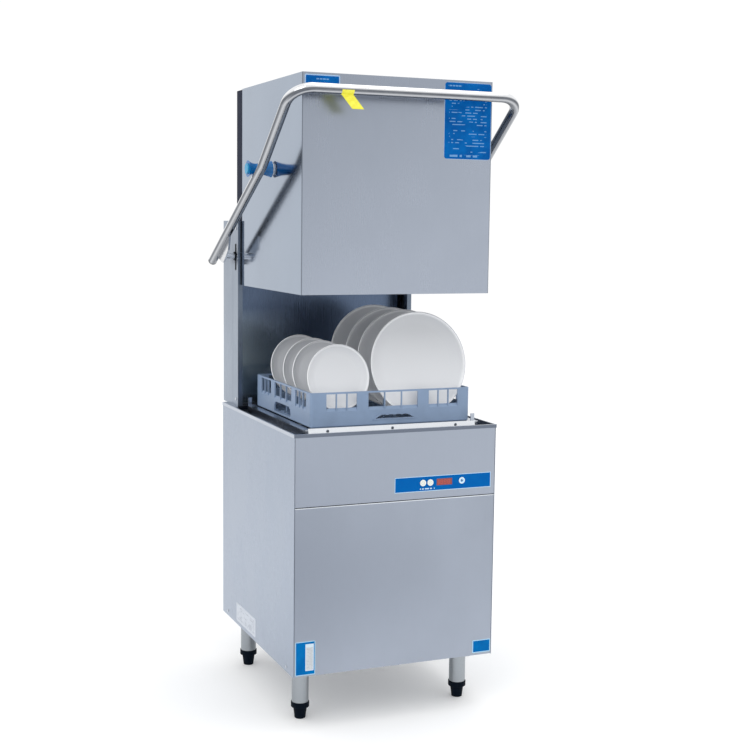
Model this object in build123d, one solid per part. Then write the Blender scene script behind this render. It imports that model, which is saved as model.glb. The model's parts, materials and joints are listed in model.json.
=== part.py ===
from build123d import *
import math
import os

# Hood-type (pass-through) commercial dishwasher, stored with its hood raised.
# Frame: +Z up, -Y towards the operator, X across; origin on the floor under the centre.

# ---------------------------------------------------------------- driving dimensions (mm)
SHEET = 1.2
GAP = 0.4

CABINET_HALF = 315.0
CABINET_FRONT = -345.0
CABINET_BACK = CABINET_FRONT + 711.0
CABINET_FLOOR = 160.0
DECK_TOP = 860.0
PANEL_SEAM = 651.0
PANEL_HALF = CABINET_HALF - SHEET - 1.2
PANEL_FOLD = 11.0

RIM_OVERHANG = 1.5
RIM_HEIGHT = 10.0
GUTTER_FLOOR = 838.0
GUTTER_HALF = 311.0
GUTTER_FRONT = CABINET_FRONT + 5.0
GUTTER_STEP = CABINET_FRONT + 586.0
GUTTER_REAR_HALF = 300.0
GUTTER_BACK = CABINET_FRONT + 668.0

TANK_HALF = 272.0
TANK_FRONT = CABINET_FRONT + 42.0
TANK_BACK = CABINET_FRONT + 560.0
TANK_FLOOR = 580.0
TRAY_LEVEL = 770.0
WALL_HALF = 276.0
WALL_FRONT = CABINET_FRONT + 38.0
WALL_BACK = CABINET_FRONT + 564.0

RAIL_TOP = 865.8
RAIL_HALF = 277.5
RAIL_FRONT = CABINET_FRONT + 36.5
RAIL_BACK = CABINET_FRONT + 566.0
RAIL_SKIRT = 20.0
LIP_HALF = 262.0
LIP_RISE = 3.0
LIP_DROP = 13.0
LIP_SLOPE = 3.7
RAIL_SCREWS = (-204.0, -4.0, 198.0)

RACK_SIZE = 500.0
RACK_HEIGHT = 101.0
RACK_BOTTOM = 866.2
RACK_WALL = 5.0
RACK_CENTRE_Y = CABINET_FRONT + 301.0
RACK_CORNER = 8.0
RACK_FLOOR_LOW = RACK_BOTTOM + 4.0
RACK_FLOOR_TOP = RACK_BOTTOM + 12.0
GRID_PITCH = 50.0
GRID_BAR = 6.0
PEG_RADIUS = 2.6
PEG_HEIGHT = 55.0
PEG_COLUMNS = (-225.0, -75.0, 0.0, 197.0)
PEG_ROWS = (-191.0, -66.0, 29.0, 139.0)
WINDOW_LOW = RACK_BOTTOM + 55.0
WINDOW_HIGH = RACK_BOTTOM + 96.0
WINDOW_SILL = 9.0
WINDOW_RIB = 3.2
WINDOW_GROUPS = ((-155.0, 94.0), (5.0, 156.0), (165.0, 94.0))
GRIP_X = 9.0
GRIP_LOW = RACK_BOTTOM + 20.0
GRIP_HIGH = RACK_BOTTOM + 31.0
GRIP_HALF = 61.0
SIDE_GRIP_LOW = RACK_BOTTOM + 8.0
SIDE_GRIP_HIGH = RACK_BOTTOM + 38.0
SIDE_GRIP_HALF = 76.0

SMALL_X = -154.0
SMALL_Z = 1004.0
SMALL_RADIUS = 95.5
SMALL_DEPTH = 14.0
SMALL_RAIL_TOP = 920.0
SMALL_ROWS = (96.0, 224.0, 310.0, 426.0)
LARGE_X = 98.5
LARGE_Z = 1036.0
LARGE_RADIUS = 152.5
LARGE_DEPTH = 20.0
LARGE_ROWS = (102.0, 208.0, 308.0, 432.0)
PLATE_TILT = 9.0

HOOD_HALF = 290.0
HOOD_FRONT = CABINET_FRONT + 22.0
HOOD_BACK = CABINET_FRONT + 580.0
HOOD_BOTTOM = 1246.5
HOOD_TOP = 1854.4
HEM_WIDTH = 10.0
HEM_HEIGHT = 14.0

COLUMN_HALF = 300.0
COLUMN_FRONT = CABINET_FRONT + 592.0
COLUMN_BACK = CABINET_FRONT + 754.0
COLUMN_TOP = 1448.0
COLUMN_SHEET = 2.0
COLUMN_INNER = 258.0
CHAMBER_BACK = CABINET_FRONT + 672.0

GUIDE_OUTER = 283.0
GUIDE_INNER = 268.0
GUIDE_BACK = CABINET_FRONT + 660.0

PIVOT_Y = CABINET_FRONT + 625.0
PIVOT_Z = 1337.0
PIVOT_RADIUS = 10.0
LEVER_LENGTH = 75.0
LEVER_ANGLE = -29.3
TUBE_RADIUS = 14.0
TUBE_BORE = 12.5
ARM_X = 345.0
TAIL_Y = CABINET_FRONT + 722.0
TAIL_Z = 1321.0
KINK_Y = CABINET_FRONT + 207.0
KINK_Z = 1602.0
BAR_Y = CABINET_FRONT - 50.0
BAR_Z = 1805.0
TAG_LEFT = -206.0
TAG_WIDTH = 35.0
TAG_SHIFT = 32.0
TAG_DROP = 51.5

ROLLER_Y = CABINET_FRONT + 276.0
ROLLER_Z = 1599.0
ROLLER_PIN = 6.0
ROLLER_FLANGE = 24.0
ROLLER_WAIST = 15.0

LEG_X = 256.0
LEG_FRONT_Y = CABINET_FRONT + 108.0
LEG_BACK_Y = CABINET_FRONT + 618.0
LEG_RADIUS = 25.0
COLLAR_BOTTOM = 34.0
COLLAR_TOP = 50.0
STEM_RADIUS = 8.0

SPINDLE_Y = RACK_CENTRE_Y
WASH_BORE = 10.0
RINSE_BORE = 6.0
RUNNING = 0.06
ARM_REACH = 234.0
RISER_Y = CABINET_FRONT + 694.0
RISER_RADIUS = 14.0
RISER_BASE = 330.0
DUCT_BOTTOM = 1404.0
DUCT_TOP = 1430.0

SUMP_X = 110.0
OVERFLOW_X = -110.0

PUMP_Y = CABINET_FRONT + 300.0
PUMP_Z = 300.0
SHAFT_RADIUS = 7.0

PORT_START = 2.0
INLET_END = 22.0
DRAIN_END = 40.0

SPRING_X = 277.0
SPRING_ANCHOR_Z = 905.0

BUTTON_Z = 698.6
BUTTON_RADIUS = 9.5
BUTTON_LEFT_X = 80.0
BUTTON_RIGHT_X = 103.4
START_X = 205.2
DISPLAY_X = 148.7


# ---------------------------------------------------------------- helpers
def block(x0, x1, y0, y1, z0, z1):
    """Rectangular solid between six limits."""
    centre = Pos((x0 + x1) / 2, (y0 + y1) / 2, (z0 + z1) / 2)
    return centre * Box(x1 - x0, y1 - y0, z1 - z0)


def rod_x(x0, x1, y, z, radius):
    """Round bar along X."""
    return Pos((x0 + x1) / 2, y, z) * Rot(0, 90, 0) * Cylinder(radius, x1 - x0)


def rod_y(x, y0, y1, z, radius):
    """Round bar along Y."""
    return Pos(x, (y0 + y1) / 2, z) * Rot(90, 0, 0) * Cylinder(radius, y1 - y0)


def rod_z(x, y, z0, z1, radius):
    """Round bar along Z."""
    return Pos(x, y, (z0 + z1) / 2) * Cylinder(radius, z1 - z0)


def ring(half, front, back, wall, z0, z1):
    """Rectangular wall, its outside given, wall thickness inwards."""
    outer = block(-half, half, front, back, z0, z1)
    inner = block(-half + wall, half - wall, front + wall, back - wall, z0 - 1, z1 + 1)
    return outer - inner


def mirrored(shape):
    """The shape and its twin across the machine's centre plane."""
    return shape + mirror(shape, about=Plane.YZ)


def bend(before, corner, after, radius):
    """Start, middle and end of the arc that rounds a corner of a bent tube."""
    corner = Vector(*corner)
    inward = (Vector(*before) - corner).normalized()
    onward = (Vector(*after) - corner).normalized()
    half_angle = inward.get_angle(onward) / 2
    setback = radius / math.tan(math.radians(half_angle))
    depth = radius / math.sin(math.radians(half_angle)) - radius
    middle = corner + (inward + onward).normalized() * depth
    return corner + inward * setback, middle, corner + onward * setback


def tube_path(points, radii):
    """Wire through points, each inner corner rounded to its own radius."""
    edges = []
    start = Vector(*points[0])
    for index in range(1, len(points) - 1):
        arc = bend(points[index - 1], points[index], points[index + 1], radii[index - 1])
        edges.append(Line(start, arc[0]))
        edges.append(ThreePointArc(*arc))
        start = arc[2]
    edges.append(Line(start, Vector(*points[-1])))
    return Wire(edges)


def pipe(points, radii, radius, bore=0.0):
    """Bent round pipe; with a bore it is hollow."""
    path = tube_path(points, radii)
    section = Plane(origin=path @ 0, z_dir=path % 0) * Circle(radius)
    body = sweep(section, path=path)
    if bore:
        hole = Plane(origin=path @ 0, z_dir=path % 0) * Circle(bore)
        body = body - sweep(hole, path=path)
    return body


def side_profile(points, x0, x1):
    """Flat plate cut to a Y-Z outline, between two X positions."""
    outline = Plane.YZ.offset(x0) * make_face(Polyline(*points, close=True))
    return extrude(outline, amount=x1 - x0)


# ---------------------------------------------------------------- cabinet
def base_frame():
    """Welded square-tube frame inside the cabinet."""
    tube = 28.0
    half = PANEL_HALF - 1
    front = CABINET_FRONT + PANEL_FOLD + 3
    back = CABINET_BACK - 3
    low = CABINET_FLOOR + SHEET
    lower_rails = ring(half, front, back, tube, low, low + tube)
    post = block(half - tube, half, front, front + tube, low + tube, GUTTER_FLOOR - 3)
    post += block(half - tube, half, back - tube, back, low + tube, GUTTER_FLOOR - 3)
    side_rail = block(half - tube, half, front + tube, back - tube, 790, 790 + tube)
    return lower_rails + mirrored(post + side_rail) + bottom_tray()


def side_panels():
    """Outer side sheets with their stiffening returns."""
    half = CABINET_HALF
    top = DECK_TOP - SHEET - GAP
    sheet = block(half - SHEET, half, CABINET_FRONT, CABINET_BACK, CABINET_FLOOR, top)
    flange_y = CABINET_FRONT + PANEL_FOLD + 1
    flange = block(half - 3 * SHEET, half - SHEET, flange_y, flange_y + SHEET,
                   CABINET_FLOOR + SHEET, GUTTER_FLOOR - 2)
    return mirrored(sheet + flange)


def folded_panel(z0, z1):
    """Front sheet with all four edges folded back."""
    face = block(-PANEL_HALF, PANEL_HALF, CABINET_FRONT, CABINET_FRONT + SHEET, z0, z1)
    outer = block(-PANEL_HALF, PANEL_HALF, CABINET_FRONT, CABINET_FRONT + PANEL_FOLD, z0, z1)
    inner = block(-PANEL_HALF + SHEET, PANEL_HALF - SHEET, CABINET_FRONT - 1,
                  CABINET_FRONT + PANEL_FOLD + 1, z0 + SHEET, z1 - SHEET)
    return face + (outer - inner)


def front_upper_panel():
    """Control fascia sheet with holes for the keys and the display."""
    panel = folded_panel(PANEL_SEAM + 1.2, DECK_TOP - SHEET - GAP)
    panel -= block(-PANEL_HALF - 1, PANEL_HALF + 1, CABINET_FRONT + SHEET, CABINET_FRONT + PANEL_FOLD + 1,
                   GUTTER_FLOOR - 2, DECK_TOP)
    behind = CABINET_FRONT + 5
    for x in (BUTTON_LEFT_X, BUTTON_RIGHT_X, START_X):
        panel -= rod_y(x, CABINET_FRONT - 5, behind, BUTTON_Z, BUTTON_RADIUS + 1)
    panel -= block(DISPLAY_X - 24, DISPLAY_X + 24, CABINET_FRONT - 5, behind,
                   BUTTON_Z - 9, BUTTON_Z + 9)
    return panel


def front_lower_panel():
    """Lift-off service panel."""
    return folded_panel(CABINET_FLOOR + SHEET + GAP, PANEL_SEAM - 1.2)


def rear_panel():
    """Back sheet with the service connections' holes."""
    top = DECK_TOP - SHEET - GAP
    sheet = block(-PANEL_HALF, PANEL_HALF, CABINET_BACK - SHEET, CABINET_BACK,
                  CABINET_FLOOR + SHEET, top)
    for x, z, radius in service_ports():
        sheet -= rod_y(x, CABINET_BACK - 9, CABINET_BACK + 9, z, radius + GAP)
    return sheet


def service_ports():
    """Across, height and outside radius of inlet, drain and cable entry."""
    inlet = (200.0, 260.0, 13.2)
    drain = (-110.0, 240.0, 20.0)
    cable = (250.0, 330.0, 14.0)
    return inlet, drain, cable


def bottom_tray():
    """Sheet that closes the cabinet from below."""
    tray = block(-PANEL_HALF, PANEL_HALF, CABINET_FRONT + PANEL_FOLD + 2, CABINET_BACK - SHEET,
                 CABINET_FLOOR, CABINET_FLOOR + SHEET)
    tabs = Part()
    for x in (-230.0, 0.0, 230.0):
        tabs += block(x - 14, x + 14, CABINET_FRONT + 2, CABINET_FRONT + PANEL_FOLD + 2,
                      CABINET_FLOOR, CABINET_FLOOR + SHEET)
    return tray + tabs


def leg_positions():
    """Plan positions of the four legs by name."""
    return {
        "fl": (-LEG_X, LEG_FRONT_Y),
        "fr": (LEG_X, LEG_FRONT_Y),
        "bl": (-LEG_X, LEG_BACK_Y),
        "br": (LEG_X, LEG_BACK_Y),
    }


def leg_tubes():
    """Four steel leg tubes, each with a closing disc at the top."""
    tubes = Part()
    wall = 2.0
    for x, y in leg_positions().values():
        outer = rod_z(x, y, COLLAR_TOP, CABINET_FLOOR, LEG_RADIUS)
        tubes += outer - rod_z(x, y, COLLAR_TOP - 1, CABINET_FLOOR - 3, LEG_RADIUS - wall)
    return tubes


def foot_collars():
    """Black plastic sleeves that end the leg tubes and guide the stems."""
    collars = Part()
    for x, y in leg_positions().values():
        collar = rod_z(x, y, COLLAR_BOTTOM, COLLAR_TOP, LEG_RADIUS + 2)
        collar = fillet(collar.edges().sort_by(Axis.Z)[0], 2)
        plug = rod_z(x, y, COLLAR_TOP, COLLAR_TOP + 22, LEG_RADIUS - 2.2)
        collars += (collar + plug) - rod_z(x, y, 0, CABINET_FLOOR, STEM_RADIUS + 0.1)
    return collars


def foot(x, y):
    """Screw-in levelling foot: tapered pad on a threaded stem."""
    pad = Pos(x, y, 13.5) * Cone(16, 19.5, 27)
    pad = pad + rod_z(x, y, 27, COLLAR_BOTTOM - 0.6, 19.5)
    pad = chamfer(pad.edges().sort_by(Axis.Z)[0], 1.5)
    return pad + rod_z(x, y, 20, 112, STEM_RADIUS)


# ---------------------------------------------------------------- deck, tank, rails
def gutter_plan(grow, z0, z1):
    """Plan of the gutter as a solid: wide under the hood, narrower between the columns."""
    front = block(-GUTTER_HALF - grow, GUTTER_HALF + grow, GUTTER_FRONT - grow, GUTTER_STEP + grow, z0, z1)
    rear = block(-GUTTER_REAR_HALF - grow, GUTTER_REAR_HALF + grow, GUTTER_STEP - 1,
                 GUTTER_BACK + grow, z0, z1)
    return front + rear


def deck_rim():
    """Folded deck: edge skirt, top strip and the gutter the hood closes into."""
    half = CABINET_HALF + RIM_OVERHANG
    front = CABINET_FRONT - RIM_OVERHANG
    back = CABINET_BACK + RIM_OVERHANG
    top = block(-half, half, front, back, DECK_TOP - SHEET, DECK_TOP)
    top -= gutter_plan(0, DECK_TOP - 9, DECK_TOP + 9)
    skirt = ring(half, front, back, SHEET, DECK_TOP - RIM_HEIGHT, DECK_TOP)
    outer_wall = gutter_plan(SHEET, GUTTER_FLOOR, DECK_TOP - SHEET)
    outer_wall -= gutter_plan(0, GUTTER_FLOOR + SHEET, DECK_TOP + 1)
    outer_wall -= block(-WALL_HALF + 8, WALL_HALF - 8, WALL_FRONT + 8, WALL_BACK - 8,
                        GUTTER_FLOOR - 9, GUTTER_FLOOR + 9)
    inner_wall = block(-WALL_HALF, WALL_HALF, WALL_FRONT, WALL_BACK, GUTTER_FLOOR, RAIL_TOP - 1.6)
    inner_wall = fillet(inner_wall.edges().filter_by(Axis.Z), 9)
    opening = block(-WALL_HALF + SHEET, WALL_HALF - SHEET, WALL_FRONT + SHEET, WALL_BACK - SHEET,
                    GUTTER_FLOOR - 9, RAIL_TOP)
    opening = fillet(opening.edges().filter_by(Axis.Z), 7.8)
    inner_wall -= opening
    rim = top + skirt + outer_wall + inner_wall
    rim -= rod_z(0, RISER_Y, DECK_TOP - 9, DECK_TOP + 9, RISER_RADIUS + GAP)
    rim -= rod_z(40, RISER_Y, DECK_TOP - 9, DECK_TOP + 9, 6 + GAP)
    return rim


def wash_tank():
    """Deep wash tank with sump bowl, filter ledges and top flange."""
    wall = 1.5
    top = GUTTER_FLOOR
    tank = ring(TANK_HALF, TANK_FRONT, TANK_BACK, wall, TANK_FLOOR, top)
    tank += block(-TANK_HALF, TANK_HALF, TANK_FRONT, TANK_BACK, TANK_FLOOR, TANK_FLOOR + wall)
    flange = block(-WALL_HALF - 20, WALL_HALF + 20, GUTTER_FRONT + 2, WALL_BACK + 20,
                   top - SHEET, top)
    flange -= block(-TANK_HALF, TANK_HALF, TANK_FRONT, TANK_BACK, top - 9, top + 9)
    ledge = block(-TANK_HALF + wall, TANK_HALF - wall, TANK_FRONT + wall, TANK_FRONT + 14,
                  TRAY_LEVEL - 3, TRAY_LEVEL - 1)
    ledge += block(-TANK_HALF + wall, TANK_HALF - wall, TANK_BACK - 14, TANK_BACK - wall,
                   TRAY_LEVEL - 3, TRAY_LEVEL - 1)
    bowl = rod_z(SUMP_X, SPINDLE_Y, TANK_FLOOR - 28, TANK_FLOOR, 56)
    tank = tank + flange + ledge + bowl
    tank -= rod_z(SUMP_X, SPINDLE_Y, TANK_FLOOR - 26.5, TANK_FLOOR + wall, 54.5)
    tank -= rod_z(SUMP_X, SPINDLE_Y, TANK_FLOOR - 30, TANK_FLOOR, 20.2)
    tank -= rod_z(OVERFLOW_X, SPINDLE_Y, TANK_FLOOR - 9, TANK_FLOOR + 9, 20.2)
    tank -= rod_z(0, SPINDLE_Y, TANK_FLOOR - 9, TANK_FLOOR + 9, 18.2)
    for x in (-ELEMENT_HALF, ELEMENT_HALF):
        tank -= rod_y(x, TANK_FRONT - 9, TANK_FRONT + 9, TANK_FLOOR + 34, 9.2)
    return tank


ELEMENT_HALF = 60.0


def front_lip():
    """Sloping lip along the front rail that sheds water into the gutter."""
    top = RAIL_TOP + LIP_RISE
    low = RAIL_TOP - LIP_DROP
    points = [(RAIL_FRONT + 0.5, top), (RAIL_FRONT, top), (RAIL_FRONT - LIP_SLOPE, low),
              (RAIL_FRONT + 0.5, low)]
    return side_profile(points, -LIP_HALF, LIP_HALF)


def rack_rails():
    """Folded rail frame the rack slides on; lips front and back, two guide fingers."""
    sheet = 1.5
    frame = block(-RAIL_HALF, RAIL_HALF, RAIL_FRONT, RAIL_BACK, RAIL_TOP - RAIL_SKIRT, RAIL_TOP)
    frame = fillet(frame.edges().filter_by(Axis.Z), 10)
    inside = block(-RAIL_HALF + sheet, RAIL_HALF - sheet, RAIL_FRONT + sheet, RAIL_BACK - sheet,
                   RAIL_TOP - RAIL_SKIRT - 9, RAIL_TOP - sheet)
    frame -= fillet(inside.edges().filter_by(Axis.Z), 8.5)
    frame -= block(-252, 252, CABINET_FRONT + 62, CABINET_FRONT + 540, RAIL_TOP - 9, RAIL_TOP + 9)
    lip_back = block(-LIP_HALF, LIP_HALF, RAIL_BACK - sheet, RAIL_BACK, RAIL_TOP, RAIL_TOP + LIP_RISE)
    rear_finger = block(-276, -264, CABINET_FRONT + 559, CABINET_FRONT + 562,
                        RAIL_TOP, RAIL_TOP + 26)
    front_finger = block(250, 262, RAIL_FRONT + sheet, RAIL_FRONT + 3 * sheet,
                         RAIL_TOP, RAIL_TOP + 24)
    return frame + front_lip() + lip_back + rear_finger + front_finger


def screw_y(x, y, z, radius):
    """Pan-head screw whose head faces the operator."""
    return rod_y(x, y - 1.8, y, z, radius)


def fasteners():
    """Visible pan-head screws of the rails, columns and panels."""
    heads = Part()
    for x in RAIL_SCREWS:
        heads += screw_y(x, RAIL_FRONT - 1.2, RAIL_TOP - 6, 4.5)
    heads -= front_lip()
    side = Part()
    for z in (DECK_TOP + 22, COLUMN_TOP - 24):
        side += rod_x(COLUMN_HALF, COLUMN_HALF + 2, COLUMN_FRONT + 20, z, 4.5)
    for y in (CABINET_FRONT + 60, CABINET_BACK - 60):
        side += rod_x(CABINET_HALF, CABINET_HALF + 1.6, y, CABINET_FLOOR + 16, 4.0)
    return heads + mirrored(side)


def filter_tray(x0, x1):
    """One perforated filter tray with turned-down edges."""
    front = TANK_FRONT + 3
    back = TANK_BACK - 3
    tray = block(x0, x1, front, back, TRAY_LEVEL, TRAY_LEVEL + SHEET)
    rim = block(x0, x1, front, back, TRAY_LEVEL + SHEET, TRAY_LEVEL + 12)
    rim -= block(x0 + SHEET, x1 - SHEET, front + SHEET, back - SHEET, TRAY_LEVEL, TRAY_LEVEL + 20)
    tray += rim
    pitch_x = (x1 - x0) / 5
    pitch_y = (back - front) / 9
    for column in range(5):
        for row in range(9):
            x = x0 + pitch_x * (column + 0.5)
            y = front + pitch_y * (row + 0.5)
            tray -= block(x - pitch_x * 0.36, x + pitch_x * 0.36, y - 4, y + 4,
                          TRAY_LEVEL - 1, TRAY_LEVEL + 5)
    return tray


def filter_trays():
    """Pair of lift-out filter trays around the spindle."""
    trays = filter_tray(-TANK_HALF + 4, -1.5) + filter_tray(1.5, TANK_HALF - 4)
    return trays - rod_z(0, SPINDLE_Y, TRAY_LEVEL - 5, TRAY_LEVEL + 30, 24)


def sump_strainer():
    """Perforated basket over the sump outlet."""
    basket = rod_z(SUMP_X, SPINDLE_Y, TANK_FLOOR - 26, TANK_FLOOR + 60, 45)
    basket -= rod_z(SUMP_X, SPINDLE_Y, TANK_FLOOR - 28, TANK_FLOOR + 58, 43.5)
    for step in range(8):
        turn = Pos(SUMP_X, SPINDLE_Y, 0) * Rot(0, 0, step * 22.5)
        basket -= turn * block(-60, 60, -5, 5, TANK_FLOOR + 4, TANK_FLOOR + 50)
    handle = Pos(SUMP_X, SPINDLE_Y, TANK_FLOOR + 60) * Rot(90, 0, 0) * Torus(20, 3)
    upper = block(SUMP_X - 40, SUMP_X + 40, SPINDLE_Y - 9, SPINDLE_Y + 9,
                  TANK_FLOOR + 59, TANK_FLOOR + 99)
    return basket + (handle & upper)


def overflow_standpipe():
    """Lift-out overflow pipe in the tank."""
    pipe_body = rod_z(OVERFLOW_X, SPINDLE_Y, TANK_FLOOR - 20, TANK_FLOOR + 130, 20)
    collar = rod_z(OVERFLOW_X, SPINDLE_Y, TANK_FLOOR + 1.5, TANK_FLOOR + 9, 27)
    body = pipe_body + collar
    body -= rod_z(OVERFLOW_X, SPINDLE_Y, TANK_FLOOR - 30, TANK_FLOOR + 140, 18)
    bar = block(OVERFLOW_X - 18.5, OVERFLOW_X + 18.5, SPINDLE_Y - 2, SPINDLE_Y + 2,
                TANK_FLOOR + 120, TANK_FLOOR + 130)
    return body + bar


# ---------------------------------------------------------------- spray system
def lower_spindle():
    """Fixed post under the rack; the lower arms turn on it."""
    post = rod_z(0, SPINDLE_Y, TANK_FLOOR - 20, 796, 18)
    seat = rod_z(0, SPINDLE_Y, 796, 826, WASH_BORE)
    neck = rod_z(0, SPINDLE_Y, 826, 846, RINSE_BORE)
    knob = rod_z(0, SPINDLE_Y, 845, 853, 13)
    return post + seat + neck + knob


def wash_arm(z0, jet_side):
    """Wash arm: hub, hollow flat tube and jets on one side."""
    z1 = z0 + 22
    arm = block(-ARM_REACH, ARM_REACH, SPINDLE_Y - 17, SPINDLE_Y + 17, z0 + 2, z1 - 2)
    arm = fillet(arm.edges().filter_by(Axis.Z), 10)
    arm -= block(-ARM_REACH + 4, ARM_REACH - 4, SPINDLE_Y - 15, SPINDLE_Y + 15, z0 + 4, z1 - 4)
    hub = rod_z(0, SPINDLE_Y, z0, z1, 26)
    jets = Part()
    jet_z = z1 - 2 if jet_side > 0 else z0 - 1
    for index in range(4):
        x = 60 + 50 * index
        jets += rod_z(x, SPINDLE_Y, jet_z, jet_z + 3, 6)
        jets += rod_z(-x, SPINDLE_Y, jet_z, jet_z + 3, 6)
    return arm + hub + jets - rod_z(0, SPINDLE_Y, z0 - 9, z1 + 9, WASH_BORE + RUNNING)


def rinse_arm(z0):
    """Rinse arm: hub and a thin tube with closed ends."""
    z1 = z0 + 14
    arm = rod_x(-ARM_REACH + 12, ARM_REACH - 12, SPINDLE_Y, z0 + 7, 6.5)
    arm -= rod_x(-ARM_REACH + 15, ARM_REACH - 15, SPINDLE_Y, z0 + 7, 5.3)
    hub = rod_z(0, SPINDLE_Y, z0, z1, 17)
    return arm + hub - rod_z(0, SPINDLE_Y, z0 - 9, z1 + 9, RINSE_BORE + RUNNING)


def riser_manifold():
    """Rear riser pipe, duct over the chamber and the upper spindle."""
    riser = rod_z(0, RISER_Y, RISER_BASE, DUCT_BOTTOM, RISER_RADIUS)
    riser -= rod_z(0, RISER_Y, RISER_BASE - 1, DUCT_BOTTOM + 9, RISER_RADIUS - 1.5)
    front = SPINDLE_Y - 28
    back = RISER_Y + RISER_RADIUS
    duct = block(-25, 25, front, back, DUCT_BOTTOM, DUCT_TOP)
    duct -= block(-23, 23, front + 2, back - 2, DUCT_BOTTOM + 2, DUCT_TOP - 2)
    duct -= rod_z(0, RISER_Y, DUCT_BOTTOM - 1, DUCT_BOTTOM + 9, RISER_RADIUS - 1.5)
    seat = rod_z(0, SPINDLE_Y, 1376, DUCT_BOTTOM, WASH_BORE)
    neck = rod_z(0, SPINDLE_Y, 1352, 1376, RINSE_BORE)
    knob = rod_z(0, SPINDLE_Y, 1345, 1353, 13)
    return riser + duct + seat + neck + knob + rinse_pipe()


def rinse_pipe():
    """Thin rinse line from the heater tank up the back of the chamber."""
    return pipe([(190, CABINET_FRONT + 500, 500), (190, CABINET_FRONT + 500, 540),
                 (40, CABINET_FRONT + 600, 540), (40, RISER_Y, 560), (40, RISER_Y, 1398)],
                [20, 30, 30], 6, 5)


# ---------------------------------------------------------------- machinery in the cabinet
def pump_casing():
    """Volute of the wash pump with its inlet and outlet necks."""
    body = rod_x(-60, -10, PUMP_Y, PUMP_Z, 70)
    inlet = rod_x(-11, 22, PUMP_Y, PUMP_Z, 19)
    outlet = rod_z(-35, PUMP_Y + 45, PUMP_Z + 20, PUMP_Z + 110, 16)
    foot_plate = block(-62, -8, PUMP_Y - 45, PUMP_Y + 45, PUMP_Z - 110, PUMP_Z - 60)
    casing = body + inlet + outlet + foot_plate
    casing -= rod_x(-54, -16, PUMP_Y, PUMP_Z, 62)
    casing -= rod_x(-20, 30, PUMP_Y, PUMP_Z, 16)
    casing -= rod_z(-35, PUMP_Y + 45, PUMP_Z, PUMP_Z + 120, 13)
    return casing - rod_x(-70, -50, PUMP_Y, PUMP_Z, SHAFT_RADIUS + RUNNING)


def pump_motor():
    """Motor housing behind the volute, hollow around its rotor."""
    housing = rod_x(-236, -60, PUMP_Y, PUMP_Z, 58)
    for step in range(12):
        turn = Pos(0, PUMP_Y, PUMP_Z) * Rot(step * 30, 0, 0)
        housing += turn * block(-226, -76, -2, 2, 55, 64)
    housing += block(-210, -90, PUMP_Y - 50, PUMP_Y + 50, PUMP_Z - 110, PUMP_Z - 50)
    housing -= rod_x(-228, -68, PUMP_Y, PUMP_Z, 50)
    housing -= rod_x(-232, -50, PUMP_Y, PUMP_Z, SHAFT_RADIUS + RUNNING)
    box_top = block(-190, -110, PUMP_Y - 35, PUMP_Y + 35, PUMP_Z + 64, PUMP_Z + 92)
    return housing + box_top


def pump_impeller():
    """Impeller, shaft and motor rotor, turning as one."""
    shaft = rod_x(-230, -18, PUMP_Y, PUMP_Z, SHAFT_RADIUS)
    rotor = rod_x(-200, -96, PUMP_Y, PUMP_Z, 36)
    disc = rod_x(-34, -30, PUMP_Y, PUMP_Z, 52)
    vanes = Part()
    for step in range(6):
        turn = Pos(0, PUMP_Y, PUMP_Z) * Rot(step * 60, 0, 0)
        vanes += turn * block(-31, -19, -2, 2, 5, 50)
    return shaft + rotor + disc + vanes


def wash_hoses():
    """Suction hose from the sump and delivery hose to spindle and riser."""
    suction = pipe([(SUMP_X, SPINDLE_Y, TANK_FLOOR + 0), (SUMP_X, SPINDLE_Y, PUMP_Z),
                    (24, PUMP_Y, PUMP_Z)], [40], 19, 16.5)
    delivery = pipe([(-35, PUMP_Y + 45, PUMP_Z + 110.5), (-35, PUMP_Y + 45, 500),
                     (0, SPINDLE_Y, 500), (0, SPINDLE_Y, TANK_FLOOR - 20.5)], [14, 14], 15, 12.5)
    return suction + delivery


def rinse_boiler():
    """Rinse water heater tank with its flange, feet and necks."""
    x = 190.0
    y = CABINET_FRONT + 500.0
    shell = rod_z(x, y, 220, 500, 95)
    shell = fillet(shell.edges().sort_by(Axis.Z)[-1], 18)
    shell -= rod_z(x, y, 224, 494, 92)
    flange = rod_z(x, y, 214, 220, 60)
    legs = Part()
    for step in range(3):
        turn = Pos(x, y, 0) * Rot(0, 0, step * 120)
        legs += turn * block(70, 88, -9, 9, 190, 221)
    legs += rod_z(x, y, 190, 214, 20)
    return shell + flange + legs


def heating_elements():
    """Tank and boiler immersion heaters: bent sheathed rods on plugs."""
    front = TANK_FRONT + 1.5
    rod_level = TANK_FLOOR + 34
    loop = pipe([(-ELEMENT_HALF, front - 12, rod_level), (-ELEMENT_HALF, TANK_BACK - 60, rod_level),
                 (ELEMENT_HALF, TANK_BACK - 60, rod_level), (ELEMENT_HALF, front - 12, rod_level)],
                [30, 30], 4.2)
    plugs = Part()
    for x in (-ELEMENT_HALF, ELEMENT_HALF):
        plugs += rod_y(x, TANK_FRONT - 14, front + 4, rod_level, 9)
    x = 190.0
    y = CABINET_FRONT + 500.0
    boiler = pipe([(x - 30, y, 226), (x - 30, y, 440), (x + 30, y, 440), (x + 30, y, 226)],
                  [25, 25], 4.2)
    return loop + plugs + boiler


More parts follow.
